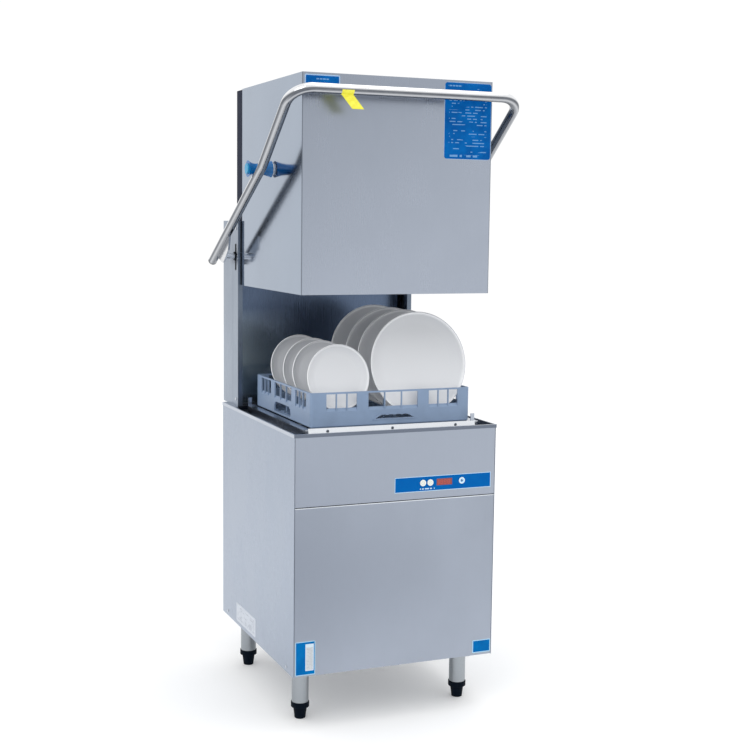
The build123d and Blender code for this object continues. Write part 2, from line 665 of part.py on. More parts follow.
def solenoid_valve():
    """Water inlet: threaded union through the back, valve body and coil."""
    x, z, radius = service_ports()[0]
    union = rod_y(x, CABINET_BACK - 40, CABINET_BACK + PORT_START + 1, z, radius - 1)
    union += rod_y(x, CABINET_BACK + PORT_START, CABINET_BACK + INLET_END, z, radius)
    union -= rod_y(x, CABINET_BACK - 20, CABINET_BACK + INLET_END + 9, z, 9)
    body = block(x - 22, x + 22, CABINET_BACK - 80, CABINET_BACK - 40, z - 20, z + 20)
    coil = rod_z(x, CABINET_BACK - 60, z + 20, z + 62, 17)
    return union + body + coil


def drain_outlet():
    """Drain elbow from the overflow down and out through the back, with its hose spigot."""
    x, z, radius = service_ports()[1]
    run = pipe([(OVERFLOW_X, SPINDLE_Y, TANK_FLOOR - 20.5), (OVERFLOW_X, SPINDLE_Y, 440),
                (x, CABINET_BACK - 80, 440), (x, CABINET_BACK - 80, z),
                (x, CABINET_BACK + DRAIN_END, z)],
               [30, 30, 30], radius - 1, radius - 3)
    spigot = rod_y(x, CABINET_BACK + PORT_START, CABINET_BACK + DRAIN_END, z, radius)
    spigot -= rod_y(x, CABINET_BACK, CABINET_BACK + DRAIN_END + 9, z, radius - 2)
    return run + spigot


def cable_gland():
    """Hexagonal gland for the supply cable, without the cable."""
    x, z, radius = service_ports()[2]
    body = rod_y(x, CABINET_BACK - 12, CABINET_BACK + 6, z, radius)
    nut = Pos(x, CABINET_BACK + 1, z) * Rot(90, 0, 0) * extrude(RegularPolygon(19, 6), amount=-9)
    dome = rod_y(x, CABINET_BACK + 9, CABINET_BACK + 22, z, 13)
    return body + nut + dome - rod_y(x, CABINET_BACK - 20, CABINET_BACK + 30, z, 7)


def electrical_box():
    """Terminal and contactor box behind the service panel."""
    x0, x1 = 60.0, 270.0
    y0, y1 = CABINET_FRONT + 50, CABINET_FRONT + 130
    shell = block(x0, x1, y0, y1, 200, 480)
    shell -= block(x0 + 1.5, x1 - 1.5, y0 + 1.5, y1 - 1.5, 201.5, 478.5)
    for row in range(3):
        shell += block(x0 + 20, x1 - 20, y1 - 50, y1 - 1.5, 230 + 80 * row, 280 + 80 * row)
    return shell + block(x0 + 30, x1 - 30, y0 + 20, y1 - 20, 189.5, 200)


def control_board():
    """Circuit board with its key switches behind the fascia."""
    board_front = CABINET_FRONT + 12
    board = block(60, 226, board_front, board_front + 1.6, 676, 722)
    for x in (BUTTON_LEFT_X, BUTTON_RIGHT_X, START_X):
        board += block(x - 3, x + 3, board_front - 4, board_front, BUTTON_Z - 3, BUTTON_Z + 3)
    return board + block(70, 216, board_front + 1.6, board_front + 14, 684, 714)


# ---------------------------------------------------------------- fascia
def control_overlay():
    """Printed control strip bonded on the fascia."""
    face = CABINET_FRONT
    strip = block(-9.5, 300.5, face - 0.8, face, 673.5, 718.5)
    for x in (BUTTON_LEFT_X, BUTTON_RIGHT_X, START_X):
        strip -= rod_y(x, face - 5, face + 5, BUTTON_Z, BUTTON_RADIUS + 0.4)
    return strip - block(DISPLAY_X - 25, DISPLAY_X + 25, face - 5, face + 5,
                         BUTTON_Z - 9.8, BUTTON_Z + 9.8)


def display_window():
    """Red digital display filling its window."""
    face = CABINET_FRONT
    pane = block(DISPLAY_X - 24.8, DISPLAY_X + 24.8, face - 0.9, face, BUTTON_Z - 9.6, BUTTON_Z + 9.6)
    back = block(DISPLAY_X - 23.8, DISPLAY_X + 23.8, face, face + 11.8, BUTTON_Z - 8.8, BUTTON_Z + 8.8)
    return pane + back


def button(x):
    """Push key: round cap on a short plunger."""
    cap = rod_y(x, CABINET_FRONT - 2.4, CABINET_FRONT + 3, BUTTON_Z, BUTTON_RADIUS)
    cap = fillet(cap.edges().sort_by(Axis.Y)[0], 0.7)
    return cap + rod_y(x, CABINET_FRONT + 3, CABINET_FRONT + 6.2, BUTTON_Z, 3)


def base_labels():
    """Thin stickers on the service panel and the left side."""
    face = CABINET_FRONT
    left = block(-309.5, -249.5, face - 0.3, face, 165.5, 264)
    right = block(252, 311.5, face - 0.3, face, 168.5, 207.5)
    side = -CABINET_HALF
    plate = block(side - 0.4, side, CABINET_FRONT + 355, CABINET_FRONT + 557, 172, 231)
    return left + right + plate


# ---------------------------------------------------------------- columns
def columns():
    """Two folded rear columns that guide the hood and hold the springs."""
    x1 = COLUMN_HALF
    wall = COLUMN_SHEET
    web = block(x1 - wall, x1, COLUMN_FRONT, COLUMN_BACK, DECK_TOP, COLUMN_TOP)
    front = block(x1 - 15, x1, COLUMN_FRONT, COLUMN_FRONT + wall, DECK_TOP, COLUMN_TOP)
    back = block(COLUMN_INNER - 18, x1, COLUMN_BACK - wall, COLUMN_BACK, DECK_TOP, COLUMN_TOP)
    inner = block(COLUMN_INNER, COLUMN_INNER + SHEET, CHAMBER_BACK + 2, COLUMN_BACK,
                  DECK_TOP, COLUMN_TOP - 4)
    floor = block(COLUMN_INNER, x1, CHAMBER_BACK + 2, COLUMN_BACK, DECK_TOP, DECK_TOP + SHEET)
    cap = block(COLUMN_INNER - 18, x1, CHAMBER_BACK + 2, COLUMN_BACK,
                COLUMN_TOP - SHEET, COLUMN_TOP)
    cap += block(x1 - 15, x1, COLUMN_FRONT, COLUMN_BACK, COLUMN_TOP - SHEET, COLUMN_TOP)
    column = web + front + back + inner + floor + cap
    seam_y = COLUMN_FRONT + 57
    column -= block(x1 - 0.5, x1 + 1, seam_y - 0.6, seam_y + 0.6, DECK_TOP + 2, COLUMN_TOP - 2)
    column -= block(x1 - 9, x1 + 9, PIVOT_Y - 13, PIVOT_Y - 2, PIVOT_Z - 44, PIVOT_Z + 39)
    column -= rod_x(x1 - 9, x1 + 9, PIVOT_Y, PIVOT_Z, 14.1)
    return mirrored(column) + spring_anchors()


def chamber_back():
    """Rear wall of the wash chamber, between the columns."""
    sheet = block(-COLUMN_INNER - 26, COLUMN_INNER + 26, CHAMBER_BACK, CHAMBER_BACK + SHEET,
                  DECK_TOP, COLUMN_TOP - 6)
    sheet += block(-COLUMN_INNER + GAP, COLUMN_INNER - GAP, CHAMBER_BACK, CHAMBER_BACK + 20,
                   COLUMN_TOP - 6 - SHEET, COLUMN_TOP - 6)
    sheet -= block(-25.3, 25.3, CHAMBER_BACK - 9, CHAMBER_BACK + 9,
                   DUCT_BOTTOM - 0.3, DUCT_TOP + 0.3)
    return sheet


def rear_cover():
    """Screwed cover over the space behind the wash chamber."""
    half = COLUMN_INNER - 18.4
    cover = block(-half, half, COLUMN_BACK - SHEET, COLUMN_BACK, DECK_TOP, COLUMN_TOP - 2)
    for index in range(6):
        z = 960 + 22 * index
        cover -= block(-70, 70, COLUMN_BACK - 9, COLUMN_BACK + 9, z, z + 5)
    return cover


def column_bearings():
    """Plastic pivot bushes and hood guide blocks in the columns."""
    x1 = COLUMN_HALF
    plate_in = x1 - COLUMN_SHEET - 5
    plate = block(plate_in, x1 - COLUMN_SHEET, PIVOT_Y - 25, PIVOT_Y + 25,
                  PIVOT_Z - 47, PIVOT_Z + 47)
    bush = rod_x(plate_in, x1 + 3, PIVOT_Y, PIVOT_Z, 13.9)
    slot_fill = block(x1 - COLUMN_SHEET - 1, x1 + 0.8, PIVOT_Y - 12.8, PIVOT_Y - 2.2,
                      PIVOT_Z - 43.8, PIVOT_Z + 38.8)
    bearing = plate + bush + slot_fill
    bearing -= rod_x(plate_in - 9, x1 + 9, PIVOT_Y, PIVOT_Z, PIVOT_RADIUS + RUNNING)
    guides = Part()
    for z0, z1 in ((1262, 1280), (1412, 1438)):
        guides += block(GUIDE_OUTER + 0.5, x1 - COLUMN_SHEET, COLUMN_FRONT + 8,
                        COLUMN_FRONT + 58, z0, z1)
    return mirrored(bearing + guides)


def spring_top():
    """Height and depth of the lever's spring pin with the hood raised."""
    angle = math.radians(LEVER_ANGLE)
    return PIVOT_Y + LEVER_LENGTH * math.cos(angle), PIVOT_Z + LEVER_LENGTH * math.sin(angle)


def counter_springs():
    """Extension springs that carry the hood's weight."""
    y, top = spring_top()
    coil_radius = 9.5
    wire = 1.6
    low = SPRING_ANCHOR_Z + 26
    high = top - 26
    turns = 30
    helix = Helix(pitch=(high - low) / turns, height=high - low, radius=coil_radius)
    path = Pos(SPRING_X, y, low) * helix
    section = Plane(origin=path @ 0, z_dir=path % 0) * Circle(wire)
    coil = sweep(section, path=path, is_frenet=True)
    spring = coil
    for centre, sign in ((SPRING_ANCHOR_Z, 1), (top, -1)):
        loop = Pos(SPRING_X, y, centre) * Rot(0, 90, 0) * Torus(7.4, wire)
        z0, z1 = sorted((centre + sign * 7.0, centre + sign * 27.0))
        spring += loop + rod_z(SPRING_X, y, z0, z1, wire)
        bridge_z = centre + sign * 26.5
        spring += rod_x(SPRING_X, SPRING_X + coil_radius, y, bridge_z, wire)
    return mirrored(spring)


def spring_anchors():
    """Brackets at the foot of the columns that hold the springs."""
    y, top = spring_top()
    stem = block(SPRING_X - 12, SPRING_X - 9, y - 14, y + 14, DECK_TOP + SHEET, SPRING_ANCHOR_Z + 10)
    base = block(SPRING_X - 12, SPRING_X + 14, y - 14, y + 14, DECK_TOP + SHEET, DECK_TOP + 5)
    pin = rod_x(SPRING_X - 12, SPRING_X + 6, y, SPRING_ANCHOR_Z, 4)
    return mirrored(stem + base + pin)


# ---------------------------------------------------------------- hood
def hood_shell():
    """Sides and top of the sliding hood, folded from one sheet."""
    y0 = HOOD_FRONT + SHEET + 1.0
    side = block(HOOD_HALF - SHEET, HOOD_HALF, y0, HOOD_BACK, HOOD_BOTTOM, HOOD_TOP)
    inner = HOOD_HALF - HEM_WIDTH
    side += block(inner, HOOD_HALF, y0 + 12, HOOD_BACK, HOOD_BOTTOM, HOOD_BOTTOM + SHEET)
    side += block(inner, inner + SHEET, y0 + 12, HOOD_BACK, HOOD_BOTTOM, HOOD_BOTTOM + HEM_HEIGHT)
    side += block(GUIDE_INNER - 6, HOOD_HALF, HOOD_BACK - SHEET, HOOD_BACK,
                  HOOD_BOTTOM + HEM_HEIGHT, HOOD_TOP)
    top = block(-HOOD_HALF, HOOD_HALF, y0, HOOD_BACK, HOOD_TOP - SHEET, HOOD_TOP)
    shell = mirrored(side) + top
    shell += block(-GUIDE_INNER + 6, GUIDE_INNER - 6, HOOD_BACK - SHEET, HOOD_BACK,
                   HOOD_TOP - 30, HOOD_TOP)
    for x in (-HOOD_HALF, HOOD_HALF):
        shell -= rod_x(x - 9, x + 9, ROLLER_Y, ROLLER_Z, ROLLER_PIN + 0.1)
    return shell


def hood_front_panel():
    """Front sheet of the hood with side returns and bottom hem."""
    y0 = HOOD_FRONT
    face = block(-HOOD_HALF, HOOD_HALF, y0, y0 + SHEET, HOOD_BOTTOM, HOOD_TOP)
    side = block(HOOD_HALF - 3, HOOD_HALF - 3 + SHEET, y0, y0 + 13, HOOD_BOTTOM, HOOD_TOP - 2)
    hem = block(-HOOD_HALF + 3, HOOD_HALF - 3, y0, y0 + HEM_WIDTH, HOOD_BOTTOM, HOOD_BOTTOM + SHEET)
    hem += block(-HOOD_HALF + 3, HOOD_HALF - 3, y0 + HEM_WIDTH - SHEET, y0 + HEM_WIDTH,
                 HOOD_BOTTOM, HOOD_BOTTOM + HEM_HEIGHT)
    return face + mirrored(side) + hem


def hood_guides():
    """Dark guide channels and top bridge that run inside the columns."""
    z0 = HOOD_BOTTOM + 14
    z1 = HOOD_TOP
    web = block(GUIDE_OUTER - 2, GUIDE_OUTER, HOOD_BACK, GUIDE_BACK, z0, z1)
    front = block(GUIDE_INNER, GUIDE_OUTER, HOOD_BACK, HOOD_BACK + 2, z0, z1)
    back = block(GUIDE_INNER, GUIDE_OUTER, GUIDE_BACK - 2, GUIDE_BACK, z0, z1)
    bridge = block(-GUIDE_OUTER, GUIDE_OUTER, HOOD_BACK, GUIDE_BACK, z1 - 2, z1)
    drop = block(-GUIDE_INNER, GUIDE_INNER, GUIDE_BACK - 2, GUIDE_BACK, z1 - 8, z1)
    return mirrored(web + front + back) + bridge + drop


def roller_pins():
    """Pins for the lift rollers with their backing plates."""
    plate = block(HOOD_HALF - SHEET - 3, HOOD_HALF - SHEET, ROLLER_Y - 35, ROLLER_Y + 35,
                  ROLLER_Z - 35, ROLLER_Z + 35)
    pin = rod_x(HOOD_HALF - SHEET - 3, 368, ROLLER_Y, ROLLER_Z, ROLLER_PIN)
    return mirrored(plate + pin)


def roller_retainers():
    """White spacer rings at the hood and end discs outside the rollers."""
    ring_in = rod_x(HOOD_HALF, HOOD_HALF + 5.5, ROLLER_Y, ROLLER_Z, 17)
    ring_in -= rod_x(HOOD_HALF - 1, HOOD_HALF + 9, ROLLER_Y, ROLLER_Z, ROLLER_PIN + 0.1)
    disc = rod_x(366.5, 371, ROLLER_Y, ROLLER_Z, 15)
    disc -= rod_x(360, 368, ROLLER_Y, ROLLER_Z, ROLLER_PIN + 0.1)
    return mirrored(ring_in + disc)


def roller():
    """Waisted plastic roller on the right side of the hood; its waist rides the arm."""
    x0 = HOOD_HALF + 6
    x1 = 366.0
    bore = ROLLER_PIN + RUNNING
    inner_mid = ((x0 + ARM_X) / 2, ROLLER_WAIST + (ROLLER_FLANGE - ROLLER_WAIST) / 4)
    outer_mid = ((x1 + ARM_X) / 2, ROLLER_WAIST + (ROLLER_FLANGE - ROLLER_WAIST) / 4)
    edges = [
        Line((x0, bore), (x0, ROLLER_FLANGE)),
        ThreePointArc((x0, ROLLER_FLANGE), inner_mid, (ARM_X, ROLLER_WAIST)),
        ThreePointArc((ARM_X, ROLLER_WAIST), outer_mid, (x1, ROLLER_FLANGE)),
        Line((x1, ROLLER_FLANGE), (x1, bore)),
        Line((x1, bore), (x0, bore)),
    ]
    return Pos(0, ROLLER_Y, ROLLER_Z) * revolve(make_face(edges), Axis.X)


def hood_labels():
    """Instruction stickers on the hood's front."""
    face = HOOD_FRONT
    right = block(138.5, 288, face - 0.3, face, 1631.5, 1848.5)
    left = block(-283.5, -180.5, face - 0.3, face, 1806, 1848.8)
    return right + left


# ---------------------------------------------------------------- handle
def handle_points():
    """Corner points of the bent handle tube from tail to tail."""
    left = [(-ARM_X, TAIL_Y, TAIL_Z), (-ARM_X, KINK_Y, KINK_Z), (-ARM_X, BAR_Y, BAR_Z)]
    right = [(ARM_X, BAR_Y, BAR_Z), (ARM_X, KINK_Y, KINK_Z), (ARM_X, TAIL_Y, TAIL_Z)]
    return left + right


def handle_tube():
    """U-shaped lifting handle in one bent stainless tube."""
    return pipe(handle_points(), [90, 62, 62, 90], TUBE_RADIUS, TUBE_BORE)


def handle_tube_solid():
    """Envelope of the handle tube, to cut the mating plates."""
    return pipe(handle_points(), [90, 62, 62, 90], TUBE_RADIUS)


def handle_end_caps():
    """Plastic plugs in the open tails of the tube."""
    slope = math.degrees(math.atan2(KINK_Z - TAIL_Z, TAIL_Y - KINK_Y))
    cap = Rot(90 - slope, 0, 0) * (Pos(0, 0, -2) * Cylinder(TUBE_RADIUS, 4))
    plug = Rot(90 - slope, 0, 0) * (Pos(0, 0, 10) * Cylinder(TUBE_BORE - 0.02, 20))
    return mirrored(Pos(ARM_X, TAIL_Y, TAIL_Z) * (cap + plug))


def pivot_shafts():
    """Stub shafts with the plates to the tube and the spring levers."""
    shaft = rod_x(286, 341, PIVOT_Y, PIVOT_Z, PIVOT_RADIUS)
    y, z = spring_top()
    eye = rod_x(286, 292, PIVOT_Y, PIVOT_Z, 17)
    end = rod_x(286, 292, y, z, 10)
    across = Vector(0, PIVOT_Z - z, y - PIVOT_Y).normalized()
    web = side_profile([(PIVOT_Y + across.Y * 14, PIVOT_Z + across.Z * 14),
                        (y + across.Y * 9, z + across.Z * 9),
                        (y - across.Y * 9, z - across.Z * 9),
                        (PIVOT_Y - across.Y * 14, PIVOT_Z - across.Z * 14)], 286, 292)
    pin = rod_x(269, 287, y, z, 4)
    plate = side_profile([(PIVOT_Y + 70, PIVOT_Z + 2), (PIVOT_Y - 80, PIVOT_Z + 84),
                          (PIVOT_Y - 60, PIVOT_Z + 20), (PIVOT_Y - 14, PIVOT_Z - 16),
                          (PIVOT_Y + 16, PIVOT_Z - 18)], 335, 341)
    plate += rod_x(335, 341, PIVOT_Y, PIVOT_Z, 20)
    return mirrored(shaft + eye + end + web + pin + plate) - handle_tube_solid()


def handle_tag():
    """Yellow tag: a strip taped under the handle's front bar with its end hanging."""
    skin = 0.4
    wrap = rod_x(TAG_LEFT, TAG_LEFT + TAG_WIDTH, BAR_Y, BAR_Z, TUBE_RADIUS + skin)
    wrap -= rod_x(TAG_LEFT - 9, TAG_LEFT + TAG_WIDTH + 9, BAR_Y, BAR_Z, TUBE_RADIUS)
    wrap -= block(TAG_LEFT - 9, TAG_LEFT + TAG_WIDTH + 9, BAR_Y - 30, BAR_Y + 30, BAR_Z - 2, BAR_Z + 30)
    face_y = BAR_Y - 4.4
    top = BAR_Z - TUBE_RADIUS + 0.5
    outline = Plane.XZ.offset(-face_y) * make_face(Polyline(
        (TAG_LEFT, top), (TAG_LEFT + TAG_WIDTH, top),
        (TAG_LEFT + TAG_WIDTH + TAG_SHIFT, BAR_Z - TAG_DROP),
        (TAG_LEFT + TAG_SHIFT, BAR_Z - TAG_DROP), close=True))
    flap = extrude(outline, amount=-skin) - rod_x(TAG_LEFT - 9, 0, BAR_Y, BAR_Z, TUBE_RADIUS)
    return wrap + flap


# ---------------------------------------------------------------- rack and dishes
def window_pane(x0, x1):
    """Cut for one pane of the front wall: a square opening above a sloping sill."""
    outer_y = RACK_CENTRE_Y - RACK_SIZE / 2
    points = [(outer_y - 5, WINDOW_LOW - WINDOW_SILL), (outer_y, WINDOW_LOW - WINDOW_SILL),
              (outer_y + RACK_WALL, WINDOW_LOW), (outer_y + 9, WINDOW_LOW),
              (outer_y + 9, WINDOW_HIGH), (outer_y - 5, WINDOW_HIGH)]
    return side_profile(points, x0, x1)


def wall_windows():
    """Cuts for the three groups of panes in the front wall."""
    cuts = Part()
    for centre, width in WINDOW_GROUPS:
        pane = (width - 2 * WINDOW_RIB) / 3
        for index in range(3):
            x0 = centre - width / 2 + index * (pane + WINDOW_RIB)
            cuts += window_pane(x0, x0 + pane)
    return cuts


def grip_outline(grow):
    """Arched finger slot of the front wall, its upper edge scalloped for the fingers."""
    half = GRIP_HALF + 2.5 * grow
    low = GRIP_LOW - grow
    high = GRIP_HIGH + grow
    points = [(GRIP_X - half, low), (GRIP_X - half + 16, high - 2)]
    scallops = 4
    pitch = (2 * half - 32) / scallops
    for index in range(scallops):
        x = GRIP_X - half + 16 + index * pitch
        points += [(x + pitch * 0.3, high), (x + pitch * 0.7, high), (x + pitch, high - 2)]
    points.append((GRIP_X + half, low))
    return Polyline(*points, close=True)


def grip_prism(grow, y0, y1):
    """Finger slot outline as a solid between two depths."""
    face = Plane.XZ.offset(-y0) * make_face(grip_outline(grow))
    return extrude(face, amount=-(y1 - y0))


def round_about_rack(shape, quarters):
    """The shape turned about the rack's centre by quarter turns."""
    return Pos(0, RACK_CENTRE_Y, 0) * Rot(0, 0, 90 * quarters) * Pos(0, -RACK_CENTRE_Y, 0) * shape


def rack_walls():
    """Outer walls with windows over sloping sills, finger slots and a tapered foot."""
    half = RACK_SIZE / 2
    y0 = RACK_CENTRE_Y - half
    y1 = RACK_CENTRE_Y + half
    top = RACK_BOTTOM + RACK_HEIGHT
    outer = block(-half, half, y0, y1, RACK_BOTTOM, top)
    outer = fillet(outer.edges().filter_by(Axis.Z), RACK_CORNER)
    outer = chamfer(outer.faces().sort_by(Axis.Z)[0].edges(), 4)
    wall = RACK_WALL
    outer -= block(-half + wall, half - wall, y0 + wall, y1 - wall, RACK_FLOOR_TOP, top + 9)
    outer -= block(-half + 14, half - 14, y0 + 14, y1 - 14, RACK_BOTTOM - 1, RACK_FLOOR_TOP + 1)
    boss = grip_prism(3.5, y0 - 1.4, y0 + 1)
    outer += boss + round_about_rack(boss, 2)
    windows = wall_windows()
    slot = grip_prism(0, y0 - 9, y0 + 20)
    for quarters in (0, 2):
        outer -= round_about_rack(windows, quarters)
        outer -= round_about_rack(slot, quarters)
    for quarters in (1, 3):
        outer -= round_about_rack(windows, quarters)
    side_grip = block(-half - 5, half + 5, RACK_CENTRE_Y - SIDE_GRIP_HALF, RACK_CENTRE_Y + SIDE_GRIP_HALF,
                      SIDE_GRIP_LOW, SIDE_GRIP_HIGH)
    return outer - fillet(side_grip.edges().filter_by(Axis.X).group_by(Axis.Z)[-1], 20)


def rack_grid():
    """Open floor grid, with a cross bar under every row of pegs."""
    half = RACK_SIZE / 2 - 13
    bar = GRID_BAR / 2
    bars = Part()
    for index in range(-4, 5):
        offset = GRID_PITCH * index
        bars += block(offset - bar, offset + bar, RACK_CENTRE_Y - half, RACK_CENTRE_Y + half,
                      RACK_FLOOR_LOW, RACK_FLOOR_TOP)
        bars += block(-half, half, RACK_CENTRE_Y + offset - bar, RACK_CENTRE_Y + offset + bar,
                      RACK_FLOOR_LOW, RACK_FLOOR_TOP)
    for row in PEG_ROWS:
        bars += block(-half, half, RACK_CENTRE_Y + row - bar, RACK_CENTRE_Y + row + bar,
                      RACK_FLOOR_LOW, RACK_FLOOR_TOP)
    return bars


def rack():
    """Peg rack: walls, open grid floor, pegs and side supports."""
    half = RACK_SIZE / 2 - 13
    pegs = Part()
    for x in PEG_COLUMNS:
        for y in PEG_ROWS:
            pegs += rod_z(x, RACK_CENTRE_Y + y, RACK_FLOOR_TOP - 1, RACK_FLOOR_TOP + PEG_HEIGHT, PEG_RADIUS)
    rails = Part()
    for x in (SMALL_X - 46, SMALL_X + 46):
        rails += block(x - 4, x + 4, RACK_CENTRE_Y - half, RACK_CENTRE_Y + 150,
                       RACK_FLOOR_TOP - 1, SMALL_RAIL_TOP)
    return rack_walls() + rack_grid() + pegs + rails


def plate_dish(radius, depth):
    """Round coupe plate lying face up: wide well curving up to a thin rim, foot ring below."""
    thick = 4.5
    well = radius * 0.72
    mid = radius * 0.9
    lower = Spline((well, 0), (mid, depth * 0.36), (radius, depth), tangents=((1, 0), (0.55, 1)))
    upper = Spline((radius - 3.2, depth + 0.6), (mid - 2.4, depth * 0.36 + 3.4), (well - 1, thick),
                   tangents=((-0.5, -1), (-1, 0)))
    edges = [Line((0, 0), (well, 0)), lower, Line((radius, depth), (radius - 1.2, depth + 1.6)),
             Line((radius - 1.2, depth + 1.6), (radius - 3.2, depth + 0.6)), upper,
             Line((well - 1, thick), (0, thick)), Line((0, thick), (0, 0))]
    dish = revolve(Plane.XZ * make_face(edges), Axis.Z)
    foot_radius = well * 0.82
    foot = Pos(0, 0, -1.5) * (Cylinder(foot_radius, 3.2) - Cylinder(foot_radius - 4, 4))
    return dish + foot


def standing_plate(x, depth_from_front, z, radius, depth):
    """Plate stood on edge, facing the operator and leaning back."""
    dish = plate_dish(radius, depth)
    lean = Rot(90 - PLATE_TILT, 0, 0)
    return Pos(x, CABINET_FRONT + depth_from_front, z) * lean * dish


def plates_small():
    """Side plates standing in the left half of the rack."""
    plates = Part()
    for row in SMALL_ROWS:
        plates += standing_plate(SMALL_X, row, SMALL_Z, SMALL_RADIUS, SMALL_DEPTH)
    return plates


def plates_large():
    """Dinner plates standing in the right half of the rack."""
    plates = Part()
    for row in LARGE_ROWS:
        plates += standing_plate(LARGE_X, row, LARGE_Z, LARGE_RADIUS, LARGE_DEPTH)
    return plates


# ---------------------------------------------------------------- export
def build_nodes():
    """Every node of the machine by name."""
    nodes = {
        "base_frame": base_frame(),
        "side_panels": side_panels(),
        "front_upper_panel": front_upper_panel(),
        "front_lower_panel": front_lower_panel(),
        "rear_panel": rear_panel(),
        "leg_tubes": leg_tubes(),
        "foot_collars": foot_collars(),
        "deck_rim": deck_rim(),
        "wash_tank": wash_tank(),
        "rack_rails": rack_rails(),
        "fasteners": fasteners(),
        "filter_trays": filter_trays(),
        "sump_strainer": sump_strainer(),
        "overflow_standpipe": overflow_standpipe(),
        "lower_spindle": lower_spindle(),
        "lower_wash_arm": wash_arm(800, 1),
        "lower_rinse_arm": rinse_arm(829),
        "riser_manifold": riser_manifold(),
        "upper_wash_arm": wash_arm(1379, -1),
        "upper_rinse_arm": rinse_arm(1357),
        "pump_casing": pump_casing(),
        "pump_motor": pump_motor(),
        "pump_impeller": pump_impeller(),
        "wash_hoses": wash_hoses(),
        "rinse_boiler": rinse_boiler(),
        "heating_elements": heating_elements(),
        "solenoid_valve": solenoid_valve(),
        "drain_outlet": drain_outlet(),
        "cable_gland": cable_gland(),
        "electrical_box": electrical_box(),
        "control_board": control_board(),
        "control_overlay": control_overlay(),
        "display_window": display_window(),
        "button_left": button(BUTTON_LEFT_X),
        "button_right": button(BUTTON_RIGHT_X),
        "button_start": button(START_X),
        "base_labels": base_labels(),
        "columns": columns(),
        "chamber_back": chamber_back(),
        "rear_cover": rear_cover(),
        "column_bearings": column_bearings(),
        "counter_springs": counter_springs(),
        "hood_shell": hood_shell(),
        "hood_front_panel": hood_front_panel(),
        "hood_guides": hood_guides(),
        "roller_pins": roller_pins(),
        "roller_retainers": roller_retainers(),
        "roller_right": roller(),
        "roller_left": mirror(roller(), about=Plane.YZ),
        "hood_labels": hood_labels(),
        "handle_tube": handle_tube(),
        "handle_end_caps": handle_end_caps(),
        "pivot_shafts": pivot_shafts(),
        "handle_tag": handle_tag(),
        "rack": rack(),
        "plates": plates_small() + plates_large(),
    }
    for name, (x, y) in leg_positions().items():
        nodes["foot_" + name] = foot(x, y)
    return nodes


os.makedirs("parts", exist_ok=True)
for node, shape in build_nodes().items():
    export_step(shape, "parts/" + node + ".step")
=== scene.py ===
import json
import math
import bmesh
import bpy
from mathutils import Matrix, Vector


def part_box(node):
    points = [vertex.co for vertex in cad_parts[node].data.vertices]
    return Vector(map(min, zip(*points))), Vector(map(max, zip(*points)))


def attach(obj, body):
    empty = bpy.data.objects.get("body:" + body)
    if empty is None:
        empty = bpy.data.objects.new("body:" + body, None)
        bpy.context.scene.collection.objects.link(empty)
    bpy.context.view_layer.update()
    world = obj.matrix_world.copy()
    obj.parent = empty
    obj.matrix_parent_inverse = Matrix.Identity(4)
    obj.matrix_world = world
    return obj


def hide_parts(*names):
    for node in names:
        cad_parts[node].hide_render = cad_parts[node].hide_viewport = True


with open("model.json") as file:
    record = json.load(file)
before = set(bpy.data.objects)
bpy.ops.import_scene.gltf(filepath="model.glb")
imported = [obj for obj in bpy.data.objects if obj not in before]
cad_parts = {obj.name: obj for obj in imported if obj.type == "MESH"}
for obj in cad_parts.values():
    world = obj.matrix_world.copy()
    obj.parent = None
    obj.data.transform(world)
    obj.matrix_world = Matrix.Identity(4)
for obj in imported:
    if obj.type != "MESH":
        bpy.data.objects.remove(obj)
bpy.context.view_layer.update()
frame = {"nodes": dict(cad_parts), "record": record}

# Hood-type commercial dishwasher. Row frame in metres: +Z up, -Y to the operator.

CAMERA_SPOT = (-1.5201, -3.8046, 1.4527)
CAMERA_ANGLES = (-22.67, 6.59, 0.7)
CAMERA_LENS = 63.94
FLOOR_SHADE_CENTRE = (-0.789, -2.051)
FLOOR_SHADE_ALONG = (0.385, 0.923)
PLATE_AXIS_Y, PLATE_AXIS_Z = -0.9877, 0.1564
HOOD_RIGHT_LABEL = (0.21325, 1.740)
HOOD_LEFT_LABEL = (-0.232, 1.8274)
BASE_LEFT_LABEL = (-0.2795, 0.21475)
BASE_RIGHT_LABEL = (0.28175, 0.188)
RATING_PLATE = (0.111, 0.2015)
KEY_HEIGHT = 0.6986


# ---------------------------------------------------------------- camera, light, floor
def axes(azimuth, pitch, roll):
    """Right, up and back directions of a camera that looks along its azimuth and down by pitch."""
    a, e, r = (math.radians(v) for v in (azimuth, pitch, roll))
    back = Vector((math.sin(a) * math.cos(e), -math.cos(a) * math.cos(e), math.sin(e)))
    right = (-back).cross(Vector((0, 0, 1))).normalized()
    up = right.cross(-back)
    return (right * math.cos(r) + up * math.sin(r), up * math.cos(r) - right * math.sin(r), back)


def make_camera():
    data = bpy.data.cameras.new("camera")
    cam = bpy.data.objects.new("camera", data)
    bpy.context.scene.collection.objects.link(cam)
    right, up, back = axes(*CAMERA_ANGLES)
    spot = Vector(CAMERA_SPOT)
    cam.matrix_world = Matrix.Translation(spot) @ Matrix((right, up, back)).transposed().to_4x4()
    data.sensor_width = 36.0
    data.lens = CAMERA_LENS
    data.clip_end = 60.0
    bpy.context.scene.camera = cam


def area(name, where, target, size, power, colour=(1, 1, 1)):
    data = bpy.data.lights.new(name, "AREA")
    data.shape = "RECTANGLE"
    data.size, data.size_y = size
    data.energy = power
    data.color = colour
    lamp = bpy.data.objects.new(name, data)
    bpy.context.scene.collection.objects.link(lamp)
    lamp.location = where
    lamp.rotation_euler = (Vector(target) - Vector(where)).to_track_quat("-Z", "Y").to_euler()


